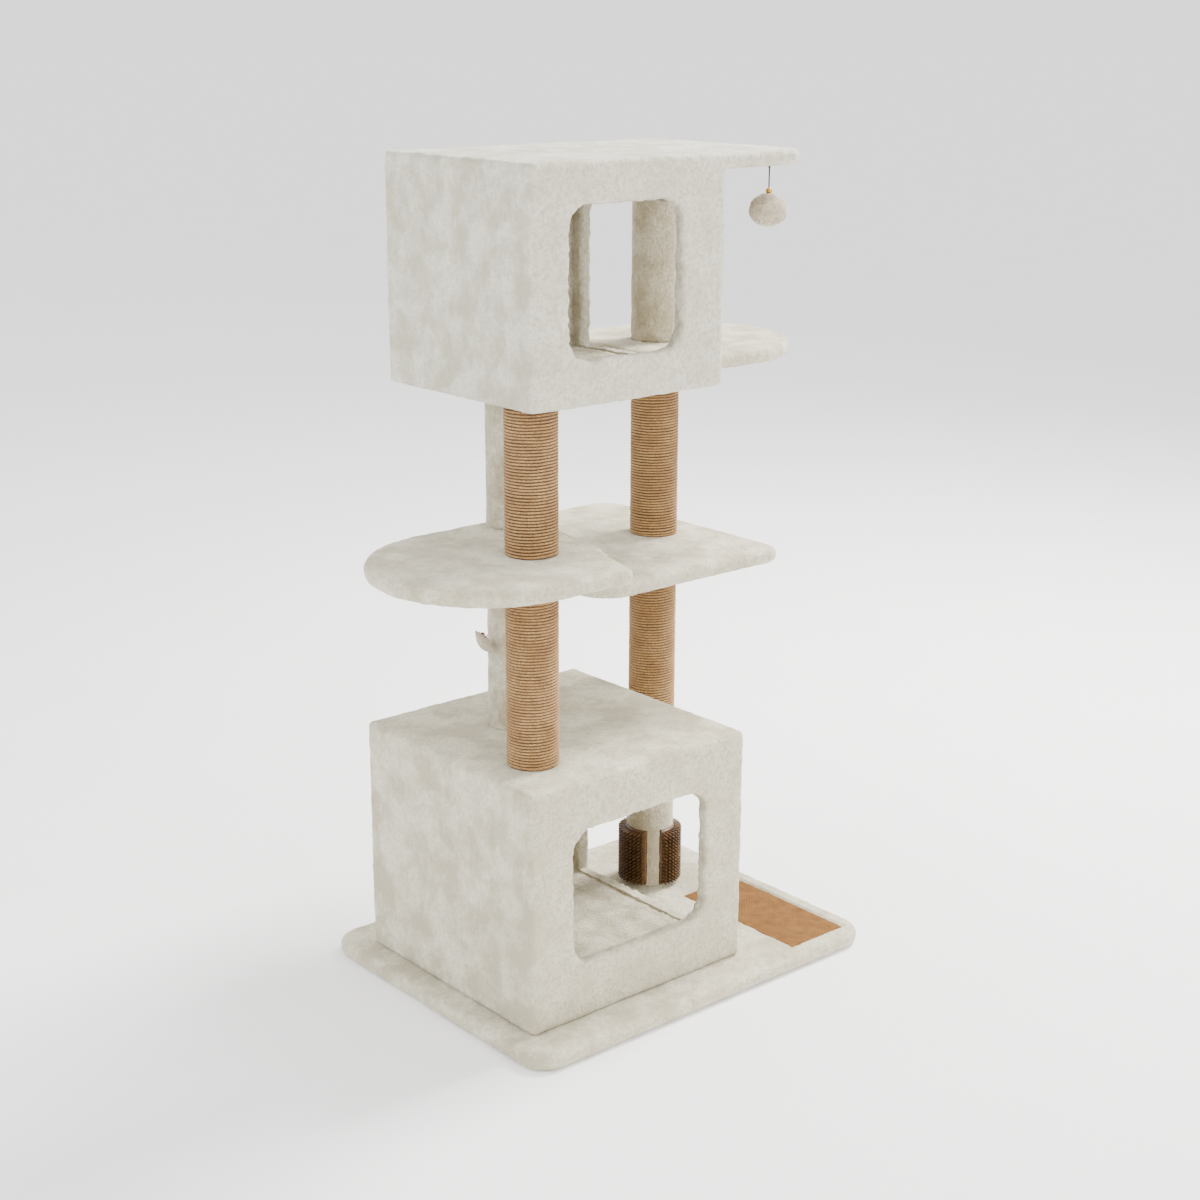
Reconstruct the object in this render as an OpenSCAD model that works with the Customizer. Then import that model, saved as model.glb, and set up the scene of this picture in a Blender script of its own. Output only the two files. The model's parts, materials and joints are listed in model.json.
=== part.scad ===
// Free-standing cat tree: a plush base with a scratch mat, a lower condo, two offset
// middle shelves, a half-round perch, and an upper condo under an overhanging top.
// The origin is the centre of the base's underside, and the tree stands on Z = 0.
// Places named _x and _y are measured from the base's front left corner.

/* [Base] */
// Width of the base over its plush
base_w = 752; // [600:1:900]
// Depth of the base over its plush
base_d = 591; // [480:1:720]
// Thickness of the base over its plush
base_t = 28; // [20:1:40]
// Radius of the base's plan corners
base_corner = 49; // [20:1:80]

/* [Fabric and boards] */
// Thickness of the plush, pile and backing together
plush_t = 4; // [2:0.5:6]
// Thickness of the condos' wall boards
wall_t = 15; // [12:1:18]
// Radius of the condos' plush edges
edge_r = 11; // [5:1:16]

/* [Scratch mat] */
// Left edge of the mat
mat_x = 589; // [500:1:620]
// Front edge of the mat
mat_y = 29; // [20:1:60]
// Width of the mat
mat_w = 131; // [90:1:150]
// Depth of the mat
mat_d = 281; // [150:1:300]
// Thickness of the mat
mat_t = 2.6; // [1:0.1:4]

/* [Lower condo] */
// Left side of the lower condo
low_x = 43; // [20:1:80]
// Front of the lower condo
low_y = 70; // [20:1:100]
// Width of the lower condo
low_w = 457; // [400:1:500]
// Depth of the lower condo
low_d = 448; // [400:1:480]
// Height of the lower condo
low_h = 411; // [340:1:460]
// Distance from the condo's left side to its window
low_win_x = 86; // [60:1:120]
// Distance from the condo's underside to its window
low_win_z = 96; // [60:1:140]
// Width of the lower window
low_win_w = 287; // [200:1:320]
// Height of the lower window
low_win_h = 230; // [160:1:260]

/* [Upper condo] */
// Left side of the upper condo
up_x = 80; // [40:1:110]
// Front of the upper condo
up_y = 110; // [70:1:140]
// Width of the upper condo
up_w = 390; // [330:1:420]
// Depth of the upper condo
up_d = 370; // [310:1:400]
// Height of the upper condo, its top included
up_h = 364; // [320:1:420]
// Distance from the condo's left side to its window
up_win_x = 74; // [50:1:110]
// Distance from the condo's underside to its window
up_win_z = 68; // [45:1:100]
// Width of the upper window
up_win_w = 227; // [160:1:270]
// Height of the upper window
up_win_h = 232; // [160:1:250]

/* [Windows and doors] */
// Corner radius of the windows
win_corner = 38; // [20:1:60]
// Frame left in front of and behind each condo's side doorway
door_frame = 45; // [35:1:80]
// Frame left above each condo's side doorway
door_head = 58; // [40:1:90]

/* [Posts] */
// Diameter of every post over its wrap
post_d = 85; // [70:1:100]
// Thickness of the rope or plush round each post
wrap_t = 5; // [4:0.5:7]
// Wall of the cardboard tubes
tube_wall = 3; // [2:0.5:5]
// Length of the long post pieces
long_post = 320; // [260:1:380]
// Length of the short post pieces
short_post = 236; // [190:1:280]
// Centre of the front left post, from the left
front_post_x = 137; // [110:1:160]
// Centre of the front left post, from the front
front_post_y = 185; // [165:1:215]
// Centre of the rear left post, from the left
rear_post_x = 228; // [215:1:260]
// Centre of the rear left post, from the front
rear_post_y = 350; // [320:1:380]
// Centre of the tall right post, from the left
right_post_x = 594; // [575:1:600]
// Centre of the tall right post, from the front
right_post_y = 408; // [390:1:420]

/* [Shelves] */
// Thickness of the shelves and the perch over their plush
shelf_t = 27; // [20:1:34]
// Radius of the left shelf's round end
left_r = 189; // [160:1:200]
// Centre of the round end, from the left
left_round_x = 67; // [50:1:100]
// Front end of the left shelf's straight side
left_front_x = 206; // [190:1:240]
// Back end of the left shelf's straight side
left_back_x = 294; // [280:1:300]
// Left side of the right shelf
right_x = 281; // [276:1:300]
// Right side of the right shelf
right_end_x = 697; // [650:1:720]
// Front of the right shelf
right_y = 187; // [150:1:220]
// Back of the right shelf
right_end_y = 648; // [600:1:680]
// Radius of the perch
perch_r = 180; // [150:1:200]
// Centre of the perch's round end, from the left
perch_round_x = 660; // [640:1:690]
// Gap between the perch and the upper condo
perch_gap = 12; // [4:1:20]

/* [Top] */
// Thickness of the top over its plush
top_t = 25; // [20:1:34]
// How far the top reaches past the upper condo
top_reach = 178; // [172:1:220]
// Radius of the top's right-hand corners
top_corner = 32; // [12:1:45]

/* [Fastenings] */
// Diameter of the studs and bolts in the posts
stud_d = 8; // [6:1:10]
// Thickness of the plug in each end of a post
plug_t = 12; // [8:1:20]
// Diameter of the bolts that hold the lower condo to the base
condo_bolt_d = 6; // [5:1:8]
// Diameter of the panel screws
screw_d = 4; // [3:0.5:5]
// Length of the panel screws
screw_l = 34; // [28:1:40]

/* [Groomer] */
// Height of the groomer's two bristle pads
pad_h = 110; // [80:1:140]
// Wall of the pads
pad_t = 2.5; // [2:0.5:4]
// Length of the bristles
bristle_l = 14; // [8:1:18]
// Gap left between the pads, front and back
pad_gap = 24; // [10:1:40]

/* [Toys] */
// Distance from the left to the hanging ball
ball_x = 595; // [570:1:605]
// Distance from the front to the hanging ball
ball_y = 142; // [140:1:160]
// Width of the ball
ball_w = 61; // [50:1:70]
// Height of the ball
ball_h = 50; // [40:1:56]
// Diameter of the bead on the ball's string
bead_d = 10; // [8:0.5:12]
// Diameter of the ball's string
string_d = 2.3; // [2:0.1:3]
// Height of the mouse's mount on the rear left post
mouse_z = 571; // [500:1:640]
// Length of the mouse, nose to tail
mouse_l = 50; // [38:1:56]
// Width of the mouse
mouse_w = 20; // [16:1:26]
// Angle of the mouse above level
mouse_tilt = 53; // [20:1:70]

/* [Hidden] */
$fn = 64;

// colours
plush = [0.86, 0.84, 0.79];
board = [0.76, 0.62, 0.44];
jute = [0.72, 0.53, 0.33];
card = [0.66, 0.55, 0.42];
steel = [0.62, 0.63, 0.65];
brown = [0.42, 0.26, 0.13];

// levels, from the floor up
low_top = base_t + low_h;
left_bottom = low_top + long_post;
left_top = left_bottom + shelf_t;
up_z = left_top + short_post;
right_joint = base_t + short_post;
right_bottom = right_joint + low_h;
right_top = right_bottom + shelf_t;
perch_bottom = right_top + long_post;
perch_top = perch_bottom + shelf_t;
top_z = up_z + up_h - top_t;
top_post = top_z - perch_top;

// places
front_post = [front_post_x, front_post_y];
rear_post = [rear_post_x, rear_post_y];
right_post = [right_post_x, right_post_y];
left_round_y = left_r + 18;
perch_x = up_x + up_w + perch_gap;
perch_y = right_post_y - 10;
top_w = up_w + top_reach;
base_edge = base_t / 2 - 2;
shelf_edge = shelf_t / 2 - 1.5;
top_edge = top_t / 2 - 1.5;

// posts and fastenings
post_r = post_d / 2;
tube_r = post_r - wrap_t;
tube_bore = tube_r - tube_wall;
stud_r = stud_d / 2;
hole_gap = 0.2;
plug_pass = 6;
plug_inset = 0.3;
sink = 8;
head_t = 5;
head_r = 7;
washer_t = 2;
washer_r = 12;
cup_r = washer_r + 1;
small_head_t = 4;
small_head_r = 5;
small_cup_r = small_head_r + 4;
screw_head_r = screw_d;
screw_head_t = 3;
pad_clear = 0.2;
bristle_r = 1.1;
bristle_pitch = 14;

// toys
string_gap = 0.3;
anchor_t = 1;
anchor_r = 5;
knot_r = 2;
bead_r = bead_d / 2;
knot_z = top_z - anchor_t - string_gap - knot_r;
string_top = knot_z - knot_r;
string_drops = [0, 2, 4, 6, 8, 10, 12, 14, 16, 18, 20, 22, 24, 26, 28, 31];
string_l = string_drops[len(string_drops) - 1];
bead_z = string_top - string_l - bead_r;
ball_z = bead_z - bead_r - ball_h / 2;
string_points = [for (drop = string_drops) [0, 0, string_top - drop]];
mouse_turn = 181;
mouse_gap = 1.5;
mouse_start = 8;

// ---- shapes shared by several pieces ----

// Everything is placed from the base's front left corner.
module from_corner(z = 0) {
    translate([-base_w / 2, -base_d / 2, z]) children();
}

// A flat round disc with a rounded rim, resting on Z = 0.
module puck(r, t, e) {
    rotate_extrude($fn = 48) {
        square([r - e, t]);
        translate([0, e]) square([r, t - 2 * e]);
        for (h = [e, t - e]) intersection() {
            translate([r - e, h]) circle(e, $fn = 24);
            square([r, t]);
        }
    }
}

// A plush slab: rounded discs at the corners [x, y, radius], joined.
module slab(corners, t, e) {
    hull() for (c = corners) translate([c.x, c.y, 0]) puck(max(c[2], e + 0.5), t, e);
}

// The board inside a slab, as far in as the plush is thick.
module slab_board(corners, t) {
    translate([0, 0, plush_t]) linear_extrude(t - 2 * plush_t)
        hull() for (c = corners) translate([c.x, c.y]) circle(max(c[2] - plush_t, 1.5), $fn = 96);
}

// Four corners of a rectangle as [x, y, radius].
function box_corners(x0, y0, x1, y1, r) = [
    [x0 + r, y0 + r, r], [x1 - r, y0 + r, r], [x1 - r, y1 - r, r], [x0 + r, y1 - r, r]];

base_corners = box_corners(0, 0, base_w, base_d, base_corner);
left_corners = [
    [left_round_x, left_round_y, left_r],
    [left_front_x - 14, left_round_y - left_r + 14, 14],
    [left_back_x - 14, left_round_y + left_r - 14, 14]];
right_corners = [
    [right_x + 62, right_y + 62, 62], [right_end_x - 26, right_y + 26, 26],
    [right_end_x - 52, right_end_y - 52, 52], [right_x + 40, right_end_y - 40, 40]];
perch_corners = [
    [perch_round_x, perch_y, perch_r],
    [perch_x + 14, perch_y - perch_r + 14, 14],
    [perch_x + 14, perch_y + perch_r - 14, 14]];
top_corners = [
    [up_x + 12, up_y + 12, 12], [up_x + top_w - top_corner, up_y + top_corner, top_corner],
    [up_x + top_w - top_corner, up_y + up_d - top_corner, top_corner],
    [up_x + 12, up_y + up_d - 12, 12]];

// A rectangle with round corners, in the plane of the sketch.
module round_rect(w, h, r) {
    translate([r, 0]) square([w - 2 * r, h]);
    translate([0, r]) square([w, h - 2 * r]);
    for (x = [r, w - r], y = [r, h - r]) translate([x, y]) circle(r);
}

// A hole for a stud or bolt.
module hole(place, z0, z1, r) {
    translate([place.x, place.y, z0]) cylinder(h = z1 - z0, r = r);
}

// The stud holes through one shelf, over its whole thickness.
module shelf_holes(posts) {
    for (p = posts) hole(p, -1, shelf_t + 1, stud_r + hole_gap);
}

// ---- condos: every condo is [x, y, z, w, d, wall height, window x, z, w, h] ----

low = [low_x, low_y, base_t, low_w, low_d, low_h - plush_t - wall_t,
       low_win_x, low_win_z, low_win_w, low_win_h];
up = [up_x, up_y, up_z, up_w, up_d, up_h - top_t,
      up_win_x, up_win_z, up_win_w, up_win_h];

// A window through the front wall, grown all round by grow.
module window(c, y0, y1, grow) {
    translate([c[6] - grow, y1, c[7] - grow]) rotate([90, 0, 0]) linear_extrude(y1 - y0)
        round_rect(c[8] + 2 * grow, c[9] + 2 * grow, win_corner + grow);
}

// A doorway through the right wall, square at the floor lining, grown by grow.
module doorway(c, x0, x1, grow) {
    floor_z = 2 * plush_t + wall_t;
    door_w = c[4] - 2 * door_frame;
    door_h = c[5] - door_head - floor_z;
    translate([x0, door_frame - grow, floor_z - grow]) rotate([90, 0, 90])
        linear_extrude(x1 - x0) {
            round_rect(door_w + 2 * grow, door_h + 2 * grow, win_corner);
            square([door_w + 2 * grow, win_corner]);
        }
}

// The board box of a condo and its four walls and floor, in the condo's own corner.
module wall_front(c) {
    difference() {
        translate([plush_t, plush_t, plush_t])
            cube([c[3] - 2 * plush_t, wall_t, c[5] - plush_t]);
        window(c, 0, plush_t + wall_t + 1, plush_t);
        side_screws(c, hole_gap / 2);
    }
}

module wall_back(c) {
    difference() {
        translate([plush_t, c[4] - plush_t - wall_t, plush_t])
            cube([c[3] - 2 * plush_t, wall_t, c[5] - plush_t]);
        side_screws(c, hole_gap / 2);
    }
}

module wall_left(c) {
    difference() {
        translate([plush_t, plush_t + wall_t, plush_t])
            cube([wall_t, c[4] - 2 * (plush_t + wall_t), c[5] - plush_t]);
        side_screws(c, hole_gap / 2);
    }
}

module wall_right(c) {
    difference() {
        translate([c[3] - plush_t - wall_t, plush_t + wall_t, plush_t])
            cube([wall_t, c[4] - 2 * (plush_t + wall_t), c[5] - plush_t]);
        doorway(c, c[3] - plush_t - wall_t - 1, c[3] - plush_t + 1, plush_t);
        side_screws(c, hole_gap / 2);
    }
}

module floor_board(c) {
    difference() {
        translate([plush_t + wall_t, plush_t + wall_t, plush_t])
            cube([c[3] - 2 * (plush_t + wall_t), c[4] - 2 * (plush_t + wall_t), wall_t]);
        side_screws(c, hole_gap / 2);
    }
}

// Plush inside a condo: floor, four walls and ceiling in one lining.
module lining(c) {
    in = plush_t + wall_t;
    difference() {
        translate([in, in, in]) cube([c[3] - 2 * in, c[4] - 2 * in, c[5] - in]);
        translate([in + plush_t, in + plush_t, in + plush_t])
            cube([c[3] - 2 * (in + plush_t), c[4] - 2 * (in + plush_t), c[5] - in - 2 * plush_t]);
        window(c, in - 1, in + plush_t + 1, 0);
        doorway(c, c[3] - in - plush_t - 1, c[3] - in + 1, 0);
    }
}

// Plush round the outside of a condo, lapped through the window and the doorway.
module outer_plush(c, h, flat_top) {
    in = plush_t + wall_t;
    difference() {
        union() {
            difference() {
                slab(box_corners(0, 0, c[3], c[4], edge_r + 1), flat_top ? h + edge_r : h, edge_r);
                translate([plush_t, plush_t, plush_t])
                    cube([c[3] - 2 * plush_t, c[4] - 2 * plush_t, flat_top ? h + edge_r : h - 2 * plush_t]);
                if (flat_top) translate([-1, -1, h]) cube([c[3] + 2, c[4] + 2, edge_r + 1]);
            }
            window(c, plush_t, in, plush_t);
            doorway(c, c[3] - in, c[3] - plush_t, plush_t);
        }
        window(c, -1, in + 1, 0);
        doorway(c, c[3] - in - 1, c[3] + 1, 0);
    }
}

// Screws through the front and back walls into the side walls and the floor.
module side_screws(c, grow) {
    edge = plush_t + wall_t / 2;
    for (far = [0, 1]) translate([0, far ? c[4] - plush_t : plush_t, 0]) mirror([0, far, 0]) {
        for (x = [edge, c[3] - edge], z = [edge + 40, c[5] / 2, c[5] - 40])
            translate([x, 0, z]) rotate([-90, 0, 0]) screw(grow);
        for (x = [c[3] * 0.3, c[3] * 0.7])
            translate([x, 0, edge]) rotate([-90, 0, 0]) screw(grow);
    }
}

// A countersunk screw pointing along +Z from its head.
module screw(grow) {
    cylinder(h = screw_l + grow, r = screw_d / 2 + grow, $fn = 24);
    cylinder(h = screw_head_t, r1 = screw_head_r + grow, r2 = screw_d / 2 + grow, $fn = 24);
}

// ---- base ----

module base_fastener_holes() {
    hole(right_post, -1, plush_t + sink, cup_r);
    hole(right_post, 0, base_t + 1, stud_r + hole_gap);
    for (p = condo_bolt_places()) {
        hole(p, -1, plush_t + sink, small_cup_r);
        hole(p, 0, base_t + 1, condo_bolt_d / 2 + hole_gap);
    }
}

function condo_bolt_places() = [
    for (x = [low_x + 80, low_x + low_w - 80], y = [low_y + 80, low_y + low_d - 80]) [x, y]];

module base_board() {
    color(board) from_corner() difference() {
        slab_board(base_corners, base_t);
        base_fastener_holes();
    }
}

module base_cover() {
    color(plush) from_corner() difference() {
        slab(base_corners, base_t, base_edge);
        slab_board(base_corners, base_t);
        translate([mat_x, mat_y, base_t - plush_t]) cube([mat_w, mat_d, plush_t + 1]);
        base_fastener_holes();
    }
}

module scratch_mat() {
    color([0.66, 0.42, 0.22]) from_corner()
        translate([mat_x, mat_y, base_t - plush_t]) cube([mat_w, mat_d, mat_t]);
}

// ---- lower condo ----

module in_low() {
    from_corner() translate([low_x, low_y, base_t]) children();
}

module low_bolt_holes() {
    translate([-low_x, -low_y, 0]) for (p = condo_bolt_places())
        hole(p, -1, plush_t + wall_t - 3, condo_bolt_d / 2 + hole_gap);
}

module low_floor() {
    color(board) in_low() difference() {
        floor_board(low);
        low_bolt_holes();
    }
}

module low_front() {
    color(board) in_low() wall_front(low);
}

module low_back() {
    color(board) in_low() wall_back(low);
}

module low_left() {
    color(board) in_low() wall_left(low);
}

module low_right() {
    color(board) in_low() wall_right(low);
}

module roof_holes() {
    translate([-low_x, -low_y, 0]) for (p = [front_post, rear_post]) {
        hole(p, low_h - plush_t - wall_t - 1, low_h - plush_t - wall_t + sink, cup_r);
        hole(p, low_h - plush_t - wall_t, low_h + 1, stud_r + hole_gap);
    }
}

module low_roof() {
    color(board) in_low() difference() {
        translate([plush_t, plush_t, low_h - plush_t - wall_t])
            cube([low_w - 2 * plush_t, low_d - 2 * plush_t, wall_t]);
        roof_holes();
    }
}

module low_cover() {
    color(plush) in_low() difference() {
        outer_plush(low, low_h, false);
        roof_holes();
        low_bolt_holes();
    }
}

module low_lining() {
    color(plush) in_low() lining(low);
}

// ---- upper condo and top ----

module in_up() {
    from_corner() translate([up_x, up_y, up_z]) children();
}

module up_floor_holes() {
    translate([-up_x, -up_y, 0]) for (p = [front_post, rear_post]) {
        hole(p, plush_t + wall_t - sink, plush_t + wall_t + 1, cup_r);
        hole(p, -1, plush_t + wall_t, stud_r + hole_gap);
    }
}

module up_floor() {
    color(board) in_up() difference() {
        floor_board(up);
        up_floor_holes();
    }
}

module up_front() {
    color(board) difference() {
        in_up() wall_front(up);
        top_screw_set(hole_gap / 2);
    }
}

module up_back() {
    color(board) difference() {
        in_up() wall_back(up);
        top_screw_set(hole_gap / 2);
    }
}

module up_left() {
    color(board) in_up() wall_left(up);
}

module up_right() {
    color(board) in_up() wall_right(up);
}

module up_cover() {
    color(plush) in_up() difference() {
        outer_plush(up, up_h - top_t, true);
        translate([-up_x, -up_y, 0]) for (p = [front_post, rear_post])
            hole(p, -1, plush_t + 1, stud_r + hole_gap);
    }
}

module up_lining() {
    color(plush) in_up() lining(up);
}

function top_screw_places() = [
    for (x = [up_x + 60, up_x + up_w - 60], y = [plush_t + wall_t / 2, up_d - plush_t - wall_t / 2])
        [x, up_y + y]];

module top_screw_set(grow) {
    from_corner(top_z) for (p = top_screw_places())
        translate([p.x, p.y, top_t - plush_t]) mirror([0, 0, 1]) screw(grow);
}

module top_stud_hole() {
    from_corner(top_z) hole(right_post, -1, top_t - plush_t - 4, stud_r + hole_gap);
}

module top_board() {
    color(board) difference() {
        from_corner(top_z) slab_board(top_corners, top_t);
        top_screw_set(hole_gap / 2);
        top_stud_hole();
    }
}

module top_cover() {
    color(plush) difference() {
        from_corner(top_z) difference() {
            slab(top_corners, top_t, top_edge);
            slab_board(top_corners, top_t);
        }
        top_screw_set(hole_gap / 2);
        top_stud_hole();
    }
}

// ---- shelves and perch ----

module shelf_board(corners, z, posts) {
    color(board) from_corner(z) difference() {
        slab_board(corners, shelf_t);
        shelf_holes(posts);
    }
}

module shelf_cover(corners, z, posts) {
    color(plush) from_corner(z) difference() {
        slab(corners, shelf_t, shelf_edge);
        slab_board(corners, shelf_t);
        shelf_holes(posts);
    }
}

module left_shelf_board() {
    shelf_board(left_corners, left_bottom, [front_post, rear_post]);
}

module left_shelf_cover() {
    shelf_cover(left_corners, left_bottom, [front_post, rear_post]);
}

module right_shelf_board() {
    shelf_board(right_corners, right_bottom, [right_post]);
}

module right_shelf_cover() {
    shelf_cover(right_corners, right_bottom, [right_post]);
}

module perch_board() {
    shelf_board(perch_corners, perch_bottom, [right_post]);
}

module perch_cover() {
    shelf_cover(perch_corners, perch_bottom, [right_post]);
}

// ---- posts: every post piece is [place, bottom, length] ----

front_low = [front_post, low_top, long_post];
front_high = [front_post, left_top, short_post];
rear_low = [rear_post, low_top, long_post];
rear_high = [rear_post, left_top, short_post];
right_1 = [right_post, base_t, short_post];
right_2 = [right_post, right_joint, low_h];
right_3 = [right_post, right_top, long_post];
right_4 = [right_post, perch_top, top_post];
all_posts = [front_low, front_high, rear_low, rear_high, right_1, right_2, right_3, right_4];

module sleeve(post, outer, inner) {
    from_corner(post[1]) difference() {
        hole(post[0], 0, post[2], outer);
        hole(post[0], -1, post[2] + 1, inner);
    }
}

module tube(post) {
    color(card) sleeve(post, tube_r, tube_bore);
}

module rope(post) {
    color(jute) sleeve(post, post_r, tube_r);
}

module plush_wrap(post) {
    color(plush) sleeve(post, post_r, tube_r);
}

module tube_front_low() {
    tube(front_low);
}

module tube_front_high() {
    tube(front_high);
}

module tube_rear_low() {
    tube(rear_low);
}

module tube_rear_high() {
    tube(rear_high);
}

module tube_right_1() {
    color(card) difference() {
        tube(right_1);
        groomer_screw_set(hole_gap / 2);
    }
}

module tube_right_2() {
    tube(right_2);
}

module tube_right_3() {
    tube(right_3);
}

module tube_right_4() {
    tube(right_4);
}

module rope_front_low() {
    rope(front_low);
}

module rope_front_high() {
    rope(front_high);
}

module rope_right_2() {
    rope(right_2);
}

module rope_right_3() {
    rope(right_3);
}

module plush_rear_low() {
    plush_wrap(rear_low);
}

module plush_rear_high() {
    plush_wrap(rear_high);
}

module plush_right_1() {
    color(plush) difference() {
        plush_wrap(right_1);
        groomer_screw_set(hole_gap / 2);
    }
}

module plush_right_4() {
    plush_wrap(right_4);
}

module post_plugs() {
    color(board) from_corner() for (post = all_posts,
            z = [post[1] + plug_inset, post[1] + post[2] - plug_t - plug_inset])
        difference() {
            hole(post[0], z, z + plug_t, tube_bore);
            hole(post[0], z - 1, z + plug_t + 1, stud_r);
        }
}

// Studs between the pieces of one post, through any shelf between them.
module joint_studs() {
    reach = plug_t + plug_pass;
    color(steel) from_corner() {
        for (p = [front_post, rear_post]) hole(p, left_bottom - reach, left_top + reach, stud_r);
        hole(right_post, right_joint - reach, right_joint + reach, stud_r);
        hole(right_post, right_bottom - reach, right_top + reach, stud_r);
        hole(right_post, perch_bottom - reach, perch_top + reach, stud_r);
        hole(right_post, top_z - reach, top_z + top_t - plush_t - 5, stud_r);
    }
}

// A hexagon-head bolt whose head starts at z and whose shank ends at tip.
module post_bolt(place, z, tip) {
    up = tip > z ? 1 : -1;
    translate([place.x, place.y, z]) mirror([0, 0, up > 0 ? 0 : 1]) {
        cylinder(h = head_t, r = head_r, $fn = 6);
        cylinder(h = abs(tip - z), r = stud_r);
    }
}

// Where each post bolt bears: [place, face of the washer seat, 1 up or -1 down].
seats = [
    [right_post, plush_t + sink, 1],
    [front_post, low_top - plush_t - wall_t + sink, 1],
    [rear_post, low_top - plush_t - wall_t + sink, 1],
    [front_post, up_z + plush_t + wall_t - sink, -1],
    [rear_post, up_z + plush_t + wall_t - sink, -1]];
seat_tips = [
    base_t + plug_t + plug_pass, low_top + plug_t + plug_pass, low_top + plug_t + plug_pass,
    up_z - plug_t - plug_pass, up_z - plug_t - plug_pass];

module post_bolts() {
    color(steel) from_corner() for (i = [0 : len(seats) - 1])
        post_bolt(seats[i][0], seats[i][1] - seats[i][2] * (washer_t + head_t), seat_tips[i]);
}

module post_washers() {
    color(steel) from_corner() for (s = seats)
        translate([s[0].x, s[0].y, s[2] > 0 ? s[1] - washer_t : s[1]]) difference() {
            cylinder(h = washer_t, r = washer_r);
            translate([0, 0, -1]) cylinder(h = washer_t + 2, r = stud_r + hole_gap);
        }
}

module condo_bolts() {
    color(steel) from_corner() for (p = condo_bolt_places())
        translate([p.x, p.y, plush_t + sink - small_head_t]) {
            cylinder(h = small_head_t, r = small_head_r, $fn = 6);
            cylinder(h = base_t + wall_t - sink + small_head_t - 4, r = condo_bolt_d / 2);
        }
}

module panel_screws() {
    color(steel) {
        in_low() side_screws(low, 0);
        in_up() side_screws(up, 0);
        top_screw_set(0);
    }
}

// ---- groomer: two bristle pads round the foot of the right post ----

pad_r = post_r + pad_clear;
pad_z = base_t + 3;
pad_angle = 180 - pad_gap / pad_r * 180 / PI;
pad_screw_angle = pad_angle / 2 + bristle_pitch / pad_r * 90 / PI;

// One pad, its middle turned to the given direction.
module groomer_pad(direction) {
    columns = floor(pad_angle / (bristle_pitch / pad_r * 180 / PI));
    rows = floor(pad_h / bristle_pitch) + 1;
    column_step = pad_angle / columns;
    color(brown) from_corner(pad_z) translate([right_post_x, right_post_y, 0])
        rotate(direction - pad_angle / 2) difference() {
            union() {
                rotate_extrude(angle = pad_angle) translate([pad_r, 0]) square([pad_t, pad_h]);
                for (k = [0 : columns - 1], j = [0 : rows - 1])
                    rotate((k + 0.5) * column_step)
                        translate([pad_r + pad_t / 2, 0, pad_h / 2 + (j - (rows - 1) / 2) * bristle_pitch])
                            rotate([0, 90, 0])
                                cylinder(h = bristle_l + pad_t / 2, r = bristle_r, $fn = 16);
            }
            pad_screw_holes(0.1);
        }
}

// The screws of one pad, in the pad's own turn, low and high at its middle.
module pad_screw_holes(grow) {
    for (z = [pad_h / 2 - 2.5 * bristle_pitch, pad_h / 2 + 2.5 * bristle_pitch])
        rotate(pad_angle / 2) translate([tube_bore + 1, 0, z]) rotate([0, 90, 0])
            cylinder(h = pad_r + pad_t - tube_bore - 1.5, r = 1.5 + grow, $fn = 24);
}

groomer_left_turn = 147;
groomer_right_turn = groomer_left_turn + 180;

module groomer_left() {
    groomer_pad(groomer_left_turn);
}

module groomer_right() {
    groomer_pad(groomer_right_turn);
}

module groomer_screw_set(grow) {
    from_corner(pad_z) translate([right_post_x, right_post_y, 0])
        for (turn = [groomer_left_turn, groomer_right_turn])
            rotate(turn - pad_angle / 2) pad_screw_holes(grow);
}

module groomer_screws() {
    color(steel) groomer_screw_set(0);
}

// ---- hanging ball ----

module at_ball(z) {
    from_corner(z) translate([ball_x, ball_y, 0]) children();
}

module string_anchor() {
    color(steel) at_ball(top_z - anchor_t) cylinder(h = anchor_t, r = anchor_r);
}

module string_knot() {
    color([0.15, 0.12, 0.1]) at_ball(knot_z) sphere(knot_r, $fn = 32);
}

// A tube of eight sides swept down the string's points.
function ring(p) = [
    for (a = [0 : 45 : 315]) p + string_d / 2 * [cos(a), sin(a), 0]];
function tube_faces(n) = concat(
    [[for (k = [0 : 7]) k]],
    [for (s = [0 : n - 2], k = [0 : 7])
        [s * 8 + (k + 1) % 8, s * 8 + k, (s + 1) * 8 + k, (s + 1) * 8 + (k + 1) % 8]],
    [[for (k = [7 : -1 : 0]) (n - 1) * 8 + k]]);

module ball_string() {
    color([0.15, 0.12, 0.1]) at_ball(0) polyhedron(
        points = [for (p = string_points) each ring(p)],
        faces = tube_faces(len(string_points)));
}

module ball_bead() {
    color([0.75, 0.55, 0.25]) at_ball(bead_z) difference() {
        sphere(bead_r);
        translate([0, 0, bead_r - 0.3]) cylinder(h = 1, r = string_d);
        translate([0, 0, -bead_r - 0.7]) cylinder(h = 1, r = string_d);
    }
}

// The ball is wider than it is high: a rounded disc with domed faces.
module toy_ball() {
    dome = (ball_w * ball_w / 4 + ball_h * ball_h / 4) / ball_h;
    color(plush) at_ball(ball_z) intersection() {
        translate([0, 0, ball_h / 2 - dome]) sphere(dome);
        translate([0, 0, dome - ball_h / 2]) sphere(dome);
        cylinder(h = ball_h, r = ball_w / 2 - 2, center = true);
    }
}

// ---- mouse on the rear left post ----

// The mouse's own frame: origin at its mount on the post, +Z along the mouse.
module at_mouse() {
    from_corner(mouse_z) translate([rear_post_x, rear_post_y, 0]) rotate(mouse_turn)
        translate([post_r + mouse_gap, 0, 0]) rotate([0, 90 - mouse_tilt, 0]) children();
}

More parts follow.
